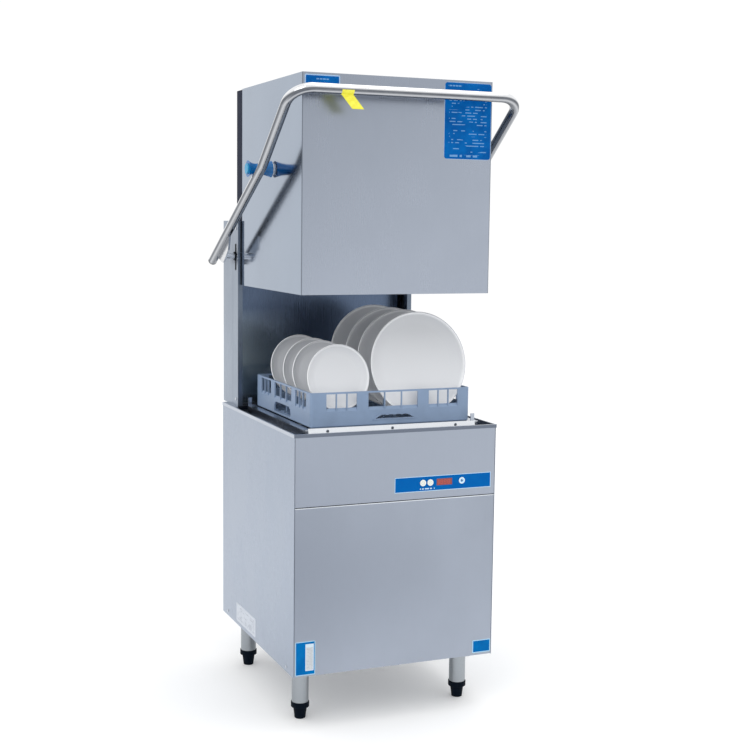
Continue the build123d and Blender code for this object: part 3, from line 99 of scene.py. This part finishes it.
def make_studio():
    """Bright even surround and a pale floor, with a soft grey patch of painted shade in front that the lower
    front reflects as its fall-off.
    """
    world = bpy.data.worlds.new("studio")
    bpy.context.scene.world = world
    world.use_nodes = True
    nodes, links = world.node_tree.nodes, world.node_tree.links
    background = nodes["Background"]
    coord = nodes.new("ShaderNodeTexCoord")
    split = nodes.new("ShaderNodeSeparateXYZ")
    ramp = nodes.new("ShaderNodeValToRGB")
    links.new(coord.outputs["Generated"], split.inputs[0])
    links.new(split.outputs["Z"], ramp.inputs["Fac"])
    links.new(ramp.outputs["Color"], background.inputs["Color"])
    ramp.color_ramp.elements[0].position = 0.0
    ramp.color_ramp.elements[0].color = (1.0, 1.0, 1.0, 1)
    ramp.color_ramp.elements[1].position = 1.0
    ramp.color_ramp.elements[1].color = (1.0, 1.0, 1.0, 1)
    background.inputs["Strength"].default_value = 1.02
    area("key", (-2.6, -2.6, 3.4), (0, 0, 0.9), (2.4, 2.4), 30)
    area("top", (0.6, -0.4, 3.9), (0, 0, 1.0), (2.2, 2.2), 22)
    bpy.context.scene.view_settings.view_transform = "Standard"
    mesh = bpy.data.meshes.new("floor")
    bm = bmesh.new()
    bmesh.ops.create_grid(bm, x_segments=8, y_segments=8, size=14)
    bm.to_mesh(mesh)
    bm.free()
    floor = bpy.data.objects.new("floor", mesh)
    bpy.context.scene.collection.objects.link(floor)
    g = Graph("floor_pale")
    g.bsdf.inputs["Roughness"].default_value = 0.9
    pale = g.mix(g.noise((3, 3, 3), 2), (0.93, 0.935, 0.94), (0.95, 0.955, 0.96))
    east = g.math("ADD", g.x, -FLOOR_SHADE_CENTRE[0])
    north = g.math("ADD", g.y, -FLOOR_SHADE_CENTRE[1])
    along_x, along_y = FLOOR_SHADE_ALONG
    ahead = g.math("ADD", g.both(east, along_x), g.both(north, along_y))
    beside = g.math("SUBTRACT", g.both(east, along_y), g.both(north, along_x))
    # painted shade: a soft grey patch on the floor in front of the machine
    floor_shade_patch = g.both(g.remap(g.math("ABSOLUTE", ahead), 0.7, 1.35, 1.0, 0.0),
                   g.remap(g.math("ABSOLUTE", beside), 0.9, 2.0, 1.0, 0.0))
    g.colour(g.mix(floor_shade_patch, pale, (0.34, 0.36, 0.40)))
    g.set(Emission_Strength=0.10)
    g.bsdf.inputs["Emission Color"].default_value = (1, 1, 1, 1)
    mesh.materials.append(g.mat)


# ---------------------------------------------------------------- material graph helper
class Graph:
    """A node material in object coordinates, which are the row frame in metres."""

    def __init__(self, name):
        self.mat = bpy.data.materials.new(name)
        self.mat.use_nodes = True
        self.nodes, self.links = self.mat.node_tree.nodes, self.mat.node_tree.links
        self.bsdf = self.nodes["Principled BSDF"]
        coord = self.nodes.new("ShaderNodeTexCoord")
        self.point = coord.outputs["Object"]
        split = self.nodes.new("ShaderNodeSeparateXYZ")
        self.links.new(self.point, split.inputs[0])
        self.x, self.y, self.z = split.outputs
        facing = self.nodes.new("ShaderNodeSeparateXYZ")
        self.links.new(coord.outputs["Normal"], facing.inputs[0])
        self.nx, self.ny, self.nz = facing.outputs

    def put(self, socket, value):
        if isinstance(value, bpy.types.NodeSocket):
            self.links.new(value, socket)
        else:
            socket.default_value = value

    def math(self, operation, *values):
        node = self.nodes.new("ShaderNodeMath")
        node.operation = operation
        for socket, value in zip(node.inputs, values):
            self.put(socket, value)
        return node.outputs[0]

    def band(self, value, centre, half):
        """1 where value is within half of centre."""
        return self.math("COMPARE", value, centre, half)

    def both(self, *values):
        total = values[0]
        for value in values[1:]:
            total = self.math("MULTIPLY", total, value)
        return total

    def noise(self, scale, detail=3.0, roughness=0.55):
        stretch = self.nodes.new("ShaderNodeMapping")
        stretch.inputs["Scale"].default_value = scale
        self.links.new(self.point, stretch.inputs["Vector"])
        tex = self.nodes.new("ShaderNodeTexNoise")
        tex.inputs["Scale"].default_value = 1.0
        tex.inputs["Detail"].default_value = detail
        tex.inputs["Roughness"].default_value = roughness
        self.links.new(stretch.outputs[0], tex.inputs["Vector"])
        return tex.outputs["Fac"]

    def noise_at(self, vector, scale, detail=1.0):
        tex = self.nodes.new("ShaderNodeTexNoise")
        tex.inputs["Scale"].default_value = scale
        tex.inputs["Detail"].default_value = detail
        self.links.new(vector, tex.inputs["Vector"])
        return tex.outputs["Fac"]

    def combine(self, x, y, z):
        node = self.nodes.new("ShaderNodeCombineXYZ")
        for socket, value in zip(node.inputs, (x, y, z)):
            self.put(socket, value)
        return node.outputs[0]

    def remap(self, value, low, high, to_low, to_high):
        node = self.nodes.new("ShaderNodeMapRange")
        node.clamp = True
        self.put(node.inputs["Value"], value)
        for name, number in (("From Min", low), ("From Max", high), ("To Min", to_low), ("To Max", to_high)):
            node.inputs[name].default_value = number
        return node.outputs["Result"]

    def mix(self, factor, a, b):
        node = self.nodes.new("ShaderNodeMix")
        node.data_type = "RGBA"
        self.put(node.inputs["Factor"], factor)
        for socket, value in ((node.inputs["A"], a), (node.inputs["B"], b)):
            self.put(socket, value if isinstance(value, bpy.types.NodeSocket) else (*value, 1))
        return [s for s in node.outputs if s.type == "RGBA"][0]

    def colour(self, value):
        self.put(self.bsdf.inputs["Base Color"], value)

    def rough(self, value):
        self.put(self.bsdf.inputs["Roughness"], value)

    def bump(self, height, strength, distance=0.001):
        node = self.nodes.new("ShaderNodeBump")
        node.inputs["Strength"].default_value = strength
        node.inputs["Distance"].default_value = distance
        self.links.new(height, node.inputs["Height"])
        self.links.new(node.outputs[0], self.bsdf.inputs["Normal"])

    def set(self, **values):
        for name, value in values.items():
            self.bsdf.inputs[name.replace("_", " ")].default_value = value
        return self


def scaled(colour, factor):
    return tuple(min(1.0, c * factor) for c in colour)


# ---------------------------------------------------------------- metals
def steel(name, colour, rough, grain=(1500, 1500, 9), grain_depth=0.05, smudge=0.05, aniso=0.35):
    """Brushed stainless: fine stretched grain, faint handling smudges, slight tone drift."""
    g = Graph(name)
    g.set(Metallic=1.0, Anisotropic=aniso)
    lines = g.noise(grain, 2.0, 0.7)
    marks = g.noise((5.0, 5.0, 3.5), 4.0, 0.6)
    fine = g.noise((60, 60, 60), 3.0, 0.6)
    tone = g.mix(g.remap(marks, 0.3, 0.7, 0, 1), scaled(colour, 0.965), scaled(colour, 1.035))
    g.colour(g.mix(g.remap(lines, 0.25, 0.75, 0, 0.18), tone, scaled(colour, 0.82)))
    base = g.remap(lines, 0.2, 0.8, rough - grain_depth, rough + grain_depth)
    haze = g.math("ADD", base, g.remap(marks, 0.35, 0.75, -smudge, smudge))
    g.rough(g.math("ADD", haze, g.remap(fine, 0.3, 0.8, -0.01, 0.015)))
    g.bump(lines, 0.06, 0.0002)
    return g.mat


def zoned_steel(name, colour, rough, zone, other, grain=(1500, 1500, 9), depth=0.05, smudge=0.05, aniso=0.35):
    """Brushed stainless whose tone changes to another where zone(graph) is 1."""
    g = Graph(name)
    g.set(Metallic=1.0, Anisotropic=aniso)
    lines = g.noise(grain, 2.0, 0.7)
    marks = g.noise((5.0, 5.0, 3.5), 4.0, 0.6)
    tone = g.mix(zone(g), colour, other)
    tone = g.mix(g.remap(marks, 0.3, 0.7, 0, 0.07), tone, (0.1, 0.11, 0.13))
    g.colour(g.mix(g.remap(lines, 0.25, 0.75, 0, 0.07), tone, scaled(colour, 0.6)))
    base = g.remap(lines, 0.2, 0.8, rough - depth, rough + depth)
    g.rough(g.math("ADD", base, g.remap(marks, 0.35, 0.75, -smudge, smudge)))
    g.bump(lines, 0.06, 0.0002)
    return g.mat


def hood_side_steel():
    """Hood shell: polished brushed sides, seam shadow at the front corner."""
    return zoned_steel("hood_side_steel", (0.325, 0.385, 0.475), 0.13,
                       lambda g: g.math("LESS_THAN", g.y, -0.3212), (0.16, 0.18, 0.22),
                       depth=0.025, smudge=0.03, aniso=0.1)


def seamed_front():
    """Hood front: soft shade towards the top left, dark seams down both edges."""
    def zone(g):
        edge = g.math("GREATER_THAN", g.math("ABSOLUTE", g.x), 0.2882)
        rise = g.remap(g.math("ADD", g.z, g.math("MULTIPLY", g.x, -0.6)), 1.30, 2.0, 0.0, 0.42)
        return g.math("MAXIMUM", edge, rise)
    return zoned_steel("hood_front_steel", scaled(PANEL, 1.04), 0.30, zone, (0.17, 0.195, 0.24), depth=0.03)


def door_steel():
    """Lower front panel, its folded top edge catching the light."""
    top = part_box("front_lower_panel")[1].z
    return zoned_steel("door_steel", scaled(PANEL, 0.965), 0.36,
                       lambda g: g.math("GREATER_THAN", g.z, top - 0.0026),
                       (0.78, 0.82, 0.87), (1400, 1400, 8), 0.03)


def column_steel():
    """Column sheet, darker on the narrow front return that faces the hood's shadow."""
    return zoned_steel("column_steel", (0.30, 0.35, 0.425), 0.30,
                       lambda g: g.math("LESS_THAN", g.y, 0.2492), (0.15, 0.185, 0.24), (1400, 1400, 8))


def rail_steel():
    """Rails, with a painted highlight on the sloping lip."""
    # painted highlight: a much lighter tone on the sloping lip
    return zoned_steel("rail_steel", (0.45, 0.49, 0.56), 0.24,
                       lambda g: g.math("LESS_THAN", g.y, -0.3082), (0.80, 0.83, 0.87), (12, 900, 900))


def rim_steel():
    """Deck rim, with painted shade on the folded skirt along the front and down in the gutter."""
    # painted shade: darker tone on the front skirt and down in the gutter
    return zoned_steel("rim_steel", (0.52, 0.56, 0.63), 0.28,
                       lambda g: g.math("MAXIMUM", g.math("LESS_THAN", g.y, -0.3462),
                                        g.math("LESS_THAN", g.z, 0.8495)),
                       (0.16, 0.185, 0.235), (12, 900, 900), smudge=0.015)


def chamber_steel():
    """Chamber wall: painted shade keeps it dark above, with a paler area of painted light low on the left."""
    def zone(g):
        left = g.remap(g.x, -0.30, -0.05, 1.0, 0.0)
        low = g.remap(g.z, 0.96, 1.17, 1.0, 0.0)
        return g.both(left, low, 0.9)
    # the dark base colour is painted shade; the zone colour is painted light low on the left
    return zoned_steel("chamber_steel", (0.105, 0.145, 0.225), 0.26, zone, (0.80, 0.95, 1.0), (1200, 1200, 8))


def tube_steel():
    """Polished bent tube with painted reflection: light above, banded painted shade below and on the side
    towards the hood.
    """
    g = Graph("tube_steel")
    g.set(Metallic=1.0)
    # painted reflection and shade: tone set by which way the surface faces
    under = g.remap(g.nz, -0.05, 0.22, 1.0, 0.0)
    lift = g.remap(g.math("ABSOLUTE", g.math("ADD", g.nz, 0.62)), 0.0, 0.30, 0.55, 0.0)
    inward = g.math("MULTIPLY", g.nx, g.math("SIGN", g.x))
    inner = g.both(g.remap(inward, -0.35, 0.15, 1.0, 0.0), g.band(g.math("ABSOLUTE", g.x), 0.345, 0.016))
    shade = g.math("MAXIMUM", g.math("SUBTRACT", under, lift), inner)
    scuff = g.noise((40, 40, 40), 4, 0.65)
    tone = g.mix(shade, (0.86, 0.87, 0.89), (0.14, 0.15, 0.17))
    g.colour(g.mix(g.remap(scuff, 0.45, 0.75, 0, 0.12), tone, (0.45, 0.46, 0.48)))
    g.rough(g.remap(scuff, 0.3, 0.75, 0.05, 0.13))
    g.bump(g.noise((300, 300, 300), 2), 0.03, 0.0002)
    return g.mat


def retainer_plastic():
    """White spacer rings at the hood, pale blue end discs outside the rollers."""
    g = Graph("retainer_plastic")
    g.set(Specular_IOR_Level=0.3)
    outer = g.math("GREATER_THAN", g.math("ABSOLUTE", g.x), 0.33)
    skin = g.noise((400, 400, 400), 2)
    white = g.mix(skin, (0.82, 0.86, 0.90), (0.88, 0.91, 0.94))
    g.colour(g.mix(outer, white, (0.03, 0.30, 0.52)))
    g.rough(g.remap(skin, 0.3, 0.7, 0.3, 0.4))
    g.bump(skin, 0.06, 0.0002)
    return g.mat


def cast_metal(name, colour, rough):
    """Sand-cast or enamelled metal with a pebbled skin."""
    g = Graph(name)
    g.set(Metallic=0.9)
    skin = g.noise((700, 700, 700), 3.0, 0.6)
    g.colour(g.mix(skin, scaled(colour, 0.85), scaled(colour, 1.1)))
    g.rough(g.remap(skin, 0.3, 0.7, rough - 0.08, rough + 0.08))
    g.bump(skin, 0.3, 0.0004)
    return g.mat


# ---------------------------------------------------------------- plastics, rubber, ceramic
def plastic(name, colour, rough, grain=900, depth=0.12, coat=0.0, wear=0.06, gloss=0.5):
    """Moulded plastic: fine spark texture, light tone drift and scuffed gloss."""
    g = Graph(name)
    g.set(Coat_Weight=coat, Coat_Roughness=0.08, IOR=1.48, Specular_IOR_Level=gloss)
    skin = g.noise((grain, grain, grain), 2.0, 0.5)
    cloud = g.noise((14, 14, 14), 3.0, 0.6)
    g.colour(g.mix(g.remap(cloud, 0.3, 0.7, 0, 1), scaled(colour, 1 - wear), scaled(colour, 1 + wear)))
    g.rough(g.math("ADD", g.remap(skin, 0.3, 0.7, rough - 0.04, rough + 0.04),
                   g.remap(cloud, 0.4, 0.8, -0.03, 0.06)))
    g.bump(skin, depth, 0.0002)
    return g.mat


def glaze(name):
    """White vitrified glaze with a faint orange peel, with painted shade greying it towards the top and
    painted highlights on the rims.
    """
    g = Graph(name)
    g.set(Coat_Weight=0.25, Coat_Roughness=0.06, IOR=1.5, Specular_IOR_Level=0.35)
    peel = g.noise((120, 120, 120), 2.0, 0.5)
    tone = g.noise((9, 9, 9), 2.0, 0.5)
    body = g.mix(tone, (0.75, 0.765, 0.79), (0.79, 0.80, 0.82))
    # painted shade: glaze greyer with height
    body = g.mix(g.remap(g.z, 0.93, 1.13, 0.06, 0.62), body, (0.40, 0.415, 0.44))
    # painted highlight: brighter where the surface turns edge-on at the rims
    face = g.math("ADD", g.both(g.ny, PLATE_AXIS_Y), g.both(g.nz, PLATE_AXIS_Z))
    edge = g.remap(g.math("ABSOLUTE", face), 0.55, 0.86, 1.0, 0.0)
    g.colour(g.mix(edge, body, (0.93, 0.94, 0.955)))
    g.rough(g.remap(peel, 0.3, 0.7, 0.16, 0.24))
    g.bump(peel, 0.05, 0.0004)
    return g.mat


# ---------------------------------------------------------------- printed surfaces
def rows_of_marks(g, across, up, pitch, fill, wide=0.0055, seed=3.0):
    """Rows of short dashes that read as small print without being letters."""
    row = g.math("FLOOR", g.math("DIVIDE", up, pitch))
    inside = g.band(g.math("FRACT", g.math("DIVIDE", up, pitch)), 0.5, fill)
    cell = g.math("FLOOR", g.math("DIVIDE", across, wide))
    dash = g.noise_at(g.combine(g.math("MULTIPLY", cell, 0.37), g.math("MULTIPLY", row, 0.71), seed), 5.0)
    return g.both(inside, g.math("GREATER_THAN", dash, 0.47))


def printed_blue(name, deep, light):
    """Printed blue film: two-tone ink with a satin surface."""
    g = Graph(name)
    g.set(Coat_Weight=0.0, IOR=1.45, Specular_IOR_Level=0.05)
    ink = g.mix(g.remap(g.noise((26, 26, 26), 3), 0.3, 0.7, 0, 1), deep, light)
    g.rough(g.remap(g.noise((500, 500, 500), 2), 0.3, 0.7, 0.28, 0.36))
    return g, ink


def frame_mask(g, across, up, centre, half, border):
    """1 on the border strip just inside a rectangle's edge."""
    inner = g.both(g.band(across, centre[0], half[0] - border), g.band(up, centre[1], half[1] - border))
    return g.math("SUBTRACT", 1.0, inner)


def control_film():
    g, ink = printed_blue("control_film", (0.0, 0.104, 0.39), (0.0, 0.124, 0.42))
    border = frame_mask(g, g.x, g.z, (0.1455, 0.696), (0.155, 0.0225), 0.0016)
    legend = g.both(g.band(g.z, 0.6815, 0.0028), g.band(g.x, 0.0915, 0.026),
                    rows_of_marks(g, g.x, g.z, 0.006, 0.3, 0.0032))
    print_on = g.mix(legend, ink, (0.55, 0.72, 0.86))
    g.colour(g.mix(border, print_on, (0.52, 0.72, 0.86)))
    return g.mat


def hood_print():
    g, ink = printed_blue("hood_print", (0.0005, 0.080, 0.31), (0.001, 0.125, 0.42))
    right = g.math("GREATER_THAN", g.x, 0.0)
    centre_x, centre_z = HOOD_RIGHT_LABEL
    border_right = frame_mask(g, g.x, g.z, (centre_x, centre_z), (0.0748, 0.1085), 0.0011)
    border_left = frame_mask(g, g.x, g.z, HOOD_LEFT_LABEL, (0.0515, 0.0214), 0.0030)
    body = g.both(g.band(g.x, centre_x, 0.060), g.band(g.z, 1.742, 0.094))
    gap = g.math("SUBTRACT", 1.0, g.band(g.z, 1.722, 0.006))
    small = g.both(body, gap, rows_of_marks(g, g.x, g.z, 0.0085, 0.15, 0.0062),
                   g.math("GREATER_THAN", g.noise((18, 18, 70), 1), 0.47))
    word = g.math("LESS_THAN", g.math("FRACT", g.math("DIVIDE", g.x, 0.0096)), 0.8)
    head = g.both(g.band(g.x, centre_x - 0.042, 0.021), g.band(g.z, 1.8385, 0.0019), word)
    foot = g.both(g.band(g.x, centre_x, 0.056), g.band(g.z, 1.6415, 0.003),
                  rows_of_marks(g, g.x, g.z, 0.006, 0.5, 0.007))
    title = g.both(g.band(g.x, HOOD_LEFT_LABEL[0], 0.019), g.band(g.z, 1.8368, 0.0018), word)
    line = g.both(g.band(g.x, HOOD_LEFT_LABEL[0], 0.044), g.band(g.z, 1.8225, 0.002),
                  rows_of_marks(g, g.x, g.z, 0.004, 0.5, 0.007))
    marks = g.math("MAXIMUM", g.both(right, g.math("MAXIMUM", small, g.math("MAXIMUM", head, foot))),
                   g.math("MAXIMUM", title, line))
    edge = g.math("MAXIMUM", g.both(right, border_right), g.both(g.math("LESS_THAN", g.x, 0.0), border_left))
    inked = g.mix(g.math("MULTIPLY", marks, 0.42), ink, (0.36, 0.62, 0.88))
    g.colour(g.mix(g.both(edge, 0.7), inked, (0.50, 0.68, 0.86)))
    return g.mat


def base_print():
    g, ink = printed_blue("base_print", (0.0, 0.112, 0.36), (0.0, 0.165, 0.47))
    edge_left = g.both(g.math("LESS_THAN", g.x, 0),
                       frame_mask(g, g.x, g.z, BASE_LEFT_LABEL, (0.030, 0.04925), 0.0018))
    edge_right = g.both(g.math("GREATER_THAN", g.x, 0),
                        frame_mask(g, g.x, g.z, BASE_RIGHT_LABEL, (0.02975, 0.0195), 0.0024))
    window = g.both(g.band(g.x, -0.2665, 0.0125), g.band(g.z, 0.2168, 0.0392))
    pane = g.both(g.band(g.x, -0.2665, 0.0100), g.band(g.z, 0.2130, 0.0330))
    rows = g.both(pane, rows_of_marks(g, g.x, g.z, 0.0045, 0.2, 0.003))
    inked = g.mix(window, ink, (0.60, 0.72, 0.80))
    inked = g.mix(pane, inked, (0.56, 0.59, 0.62))
    inked = g.mix(g.both(rows, 0.35), inked, (0.25, 0.28, 0.34))
    g.colour(g.mix(g.math("MAXIMUM", edge_left, edge_right), inked, (0.40, 0.66, 0.82)))
    return g.mat


def rating_print():
    g = Graph("rating_print")
    g.set(Metallic=0.35, IOR=1.45)
    body = g.both(g.band(g.y, RATING_PLATE[0], 0.090), g.band(g.z, RATING_PLATE[1], 0.024))
    rows = g.both(body, rows_of_marks(g, g.y, g.z, 0.0062, 0.22, 0.0045),
                  g.math("GREATER_THAN", g.noise((40, 40, 90), 1), 0.47))
    base = g.mix(g.noise((30, 30, 30), 3), (0.52, 0.56, 0.63), (0.60, 0.64, 0.70))
    g.colour(g.mix(g.both(rows, 0.75), base, (0.22, 0.25, 0.32)))
    g.rough(g.remap(g.noise((600, 600, 600), 2), 0.3, 0.7, 0.35, 0.45))
    return g.mat


def red_display():
    """Dark red filter window with dimly lit segments behind it."""
    g = Graph("red_display")
    g.set(Coat_Weight=0.8, Coat_Roughness=0.05, IOR=1.5)
    cell = 0.0112
    local = g.math("SUBTRACT", g.math("FRACT", g.math("DIVIDE", g.x, cell)), 0.5)
    up = g.math("DIVIDE", g.math("SUBTRACT", g.z, KEY_HEIGHT), 0.0068)
    bars = g.math("MAXIMUM", g.both(g.band(local, 0.0, 0.26), g.band(g.math("ABSOLUTE", up), 0.85, 0.12)),
                  g.both(g.band(local, 0.0, 0.26), g.band(up, 0.0, 0.10)))
    posts = g.both(g.band(g.math("ABSOLUTE", local), 0.29, 0.06), g.band(g.math("ABSOLUTE", up), 0.43, 0.36))
    lit = g.both(g.math("MAXIMUM", bars, posts), g.band(g.x, 0.1487, 0.0215))
    tone = g.mix(g.noise((90, 90, 90), 2), (0.20, 0.018, 0.014), (0.27, 0.026, 0.018))
    g.colour(g.mix(lit, tone, (0.52, 0.035, 0.022)))
    g.rough(g.remap(g.noise((400, 400, 400), 2), 0.3, 0.7, 0.14, 0.2))
    return g.mat


def key_cap(name, centre_x, start=False):
    """White key: soft dome, printed ring, and on the start key a blue face with a dark triangle."""
    g = Graph(name)
    g.set(Coat_Weight=0.4, Coat_Roughness=0.1)
    dx = g.math("SUBTRACT", g.x, centre_x)
    dz = g.math("SUBTRACT", g.z, KEY_HEIGHT)
    radius = g.math("SQRT", g.math("ADD", g.both(dx, dx), g.both(dz, dz)))
    body = g.mix(g.noise((150, 150, 150), 2), (0.80, 0.83, 0.80), (0.86, 0.88, 0.84))
    if start:
        face = g.math("LESS_THAN", radius, 0.0058)
        edge = g.math("MULTIPLY", g.math("SUBTRACT", 0.0036, dx), 0.62)
        triangle = g.both(g.math("GREATER_THAN", dx, -0.0028),
                          g.math("LESS_THAN", g.math("ABSOLUTE", dz), edge))
        tone = g.mix(face, (0.72, 0.85, 0.93), (0.30, 0.55, 0.80))
        g.colour(g.mix(triangle, tone, (0.004, 0.035, 0.16)))
    else:
        ring = g.band(radius, 0.0050, 0.0006)
        dot = g.math("LESS_THAN", radius, 0.0022)
        tone = g.mix(g.math("MAXIMUM", ring, g.both(dot, 0.6)), body, (0.55, 0.58, 0.50))
        g.colour(tone)
    g.rough(g.remap(g.noise((500, 500, 500), 2), 0.3, 0.7, 0.25, 0.35))
    g.bump(g.noise((900, 900, 900), 2), 0.05, 0.0002)
    return g.mat


def tag_paper():
    """Yellow coated paper with fibres and faint creases."""
    g = Graph("tag_paper")
    g.set(Coat_Weight=0.25, Coat_Roughness=0.25)
    fibre = g.noise((1200, 300, 1200), 3)
    crease = g.noise((60, 60, 140), 3)
    g.colour(g.mix(g.remap(crease, 0.3, 0.7, 0, 1), (0.80, 0.72, 0.020), (0.93, 0.90, 0.085)))
    g.rough(g.remap(fibre, 0.3, 0.7, 0.45, 0.6))
    g.bump(crease, 0.35, 0.0012)
    return g.mat


# ---------------------------------------------------------------- mesh helpers
def mesh_object(name, bm, material, smooth=True):
    mesh = bpy.data.meshes.new(name)
    bmesh.ops.recalc_face_normals(bm, faces=bm.faces)
    bm.to_mesh(mesh)
    bm.free()
    for polygon in mesh.polygons:
        polygon.use_smooth = smooth
    mesh.materials.append(material)
    obj = bpy.data.objects.new(name, mesh)
    bpy.context.scene.collection.objects.link(obj)
    return obj


def rounded_outline(half_w, half_h, radius, steps=8):
    points = []
    for index, (sx, sz) in enumerate(((1, 1), (-1, 1), (-1, -1), (1, -1))):
        for step in range(steps + 1):
            angle = math.radians(90 * index + 90 * step / steps)
            points.append((sx * (half_w - radius) + radius * math.cos(angle),
                           sz * (half_h - radius) + radius * math.sin(angle)))
    return points


def sticker(name, centre, half_w, half_h, radius, material, across=(1, 0, 0), out=(0, -1, 0)):
    """Thin rounded sticker over a CAD sticker's place, its edge softened."""
    across, out, centre = Vector(across), Vector(out), Vector(centre)
    bm = bmesh.new()
    rows = []
    for inset, lift in ((0.0, 0.0), (0.0, 0.00022), (0.0003, 0.00030)):
        outline = rounded_outline(half_w - inset, half_h - inset, radius - inset)
        rows.append([bm.verts.new(centre + across * u + Vector((0, 0, v)) + out * lift) for u, v in outline])
    count = len(rows[0])
    for lower, upper in zip(rows, rows[1:]):
        for index in range(count):
            other = (index + 1) % count
            bm.faces.new((lower[index], lower[other], upper[other], upper[index]))
    bm.faces.new(rows[-1])
    bm.faces.new(list(reversed(rows[0])))
    return mesh_object(name, bm, material, smooth=False)


make_camera()
make_studio()

# ---------------------------------------------------------------- materials by CAD slot
PANEL = (0.385, 0.425, 0.500)
finish = {
    "cabinet_steel": steel("cabinet_steel", scaled(PANEL, 0.985), 0.36, (1400, 1400, 8)),
    "deck_steel": steel("deck_steel", (0.50, 0.535, 0.60), 0.28, (900, 12, 900)),
    # tank steel's very dark tone is painted shade inside the tank
    "tank_steel": steel("tank_steel", (0.10, 0.115, 0.15), 0.26, (1200, 1200, 8), 0.03, 0.015),
    "hood_steel": steel("hood_steel", PANEL, 0.30, (1500, 1500, 9)),
    "handle_steel": steel("handle_steel", (0.72, 0.73, 0.75), 0.10, (90, 90, 90), 0.02, 0.02, 0.0),
    "inner_steel": steel("inner_steel", (0.38, 0.40, 0.43), 0.36, (900, 900, 14)),
    "spray_steel": steel("spray_steel", (0.52, 0.54, 0.57), 0.24, (14, 900, 900)),
    "spring_steel": steel("spring_steel", (0.30, 0.31, 0.33), 0.3, (300, 300, 300)),
    "screw_steel": steel("screw_steel", (0.62, 0.64, 0.67), 0.2, (500, 500, 500)),
    "element_steel": steel("element_steel", (0.42, 0.42, 0.43), 0.3, (300, 300, 300)),
    "guide_dark": plastic("guide_dark", (0.004, 0.009, 0.028), 0.6, 600, 0.08, 0.0, 0.06, 0.12),
    "black_plastic": plastic("black_plastic", (0.001, 0.004, 0.010), 0.5, 700, 0.2, 0.0, 0.06, 0.06),
    "roller_blue": plastic("roller_blue", (0.0, 0.125, 0.37), 0.3, 900, 0.06, 0.15, 0.06, 0.4),
    "white_plastic": plastic("white_plastic", (0.84, 0.88, 0.92), 0.3, 900, 0.06, 0.3),
    "rack_plastic": plastic("rack_plastic", (0.215, 0.295, 0.43), 0.42, 650, 0.18, 0.0, 0.08, 0.35),
    "drain_plastic": plastic("drain_plastic", (0.22, 0.23, 0.25), 0.45, 600),
    "hose_rubber": plastic("hose_rubber", (0.018, 0.018, 0.020), 0.62, 400, 0.35),
    "board_green": plastic("board_green", (0.012, 0.11, 0.045), 0.35, 300, 0.1, 0.4),
    "box_paint": plastic("box_paint", (0.52, 0.54, 0.56), 0.38, 500, 0.15, 0.2),
    "pump_cast": cast_metal("pump_cast", (0.36, 0.37, 0.39), 0.5),
    "motor_paint": cast_metal("motor_paint", (0.05, 0.065, 0.09), 0.45),
    "rotor_iron": cast_metal("rotor_iron", (0.25, 0.25, 0.26), 0.5),
    "valve_brass": steel("valve_brass", (0.66, 0.48, 0.20), 0.3, (400, 400, 400)),
    "dish_ceramic": glaze("dish_ceramic"),
    "overlay_blue": control_film(),
    "display_red": red_display(),
    "label_blue": hood_print(),
    "tag_yellow": tag_paper(),
}
slot_of = {row["node"]: row["material_slot"] for row in frame["record"]["subparts"]}
special = {
    "hood_shell": hood_side_steel(),
    "hood_front_panel": seamed_front(),
    "side_panels": steel("side_steel", (0.345, 0.395, 0.48), 0.28, (1400, 1400, 8)),
    "handle_tube": tube_steel(),
    "front_lower_panel": door_steel(),
    "leg_tubes": steel("leg_steel", (0.34, 0.365, 0.39), 0.2, (400, 400, 9)),
    "columns": column_steel(),
    "rack_rails": rail_steel(),
    "deck_rim": rim_steel(),
    "chamber_back": chamber_steel(),
    "roller_retainers": retainer_plastic(),
    "button_left": key_cap("key_left_face", 0.080),
    "button_right": key_cap("key_right_face", 0.1034),
    "button_start": key_cap("key_start_face", 0.2052, True),
}
for node, obj in frame["nodes"].items():
    material = special.get(node) or finish[slot_of[node]]
    obj.data.materials.clear()
    obj.data.materials.append(material)

# ---------------------------------------------------------------- stickers
HOOD_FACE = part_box("hood_front_panel")[0].y
BASE_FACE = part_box("front_lower_panel")[0].y
SIDE_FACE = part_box("side_panels")[0].x
hood_film, base_film, rating_film = finish["label_blue"], base_print(), rating_print()
for piece in (sticker("hood_label_right", (HOOD_RIGHT_LABEL[0], HOOD_FACE, HOOD_RIGHT_LABEL[1]),
                      0.07475, 0.1085, 0.012, hood_film),
              sticker("hood_label_left", (HOOD_LEFT_LABEL[0], HOOD_FACE, HOOD_LEFT_LABEL[1]),
                      0.0515, 0.0214, 0.004, hood_film)):
    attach(piece, "hood")
    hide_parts("hood_labels")
for piece in (sticker("base_label_left", (BASE_LEFT_LABEL[0], BASE_FACE, BASE_LEFT_LABEL[1]),
                      0.030, 0.04925, 0.003, base_film),
              sticker("base_label_right", (BASE_RIGHT_LABEL[0], BASE_FACE, BASE_RIGHT_LABEL[1]),
                      0.02975, 0.0195, 0.003, base_film),
              sticker("rating_plate", (SIDE_FACE, *RATING_PLATE), 0.101, 0.0295, 0.004, rating_film,
                      (0, -1, 0), (-1, 0, 0))):
    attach(piece, "base")
    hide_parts("base_labels")
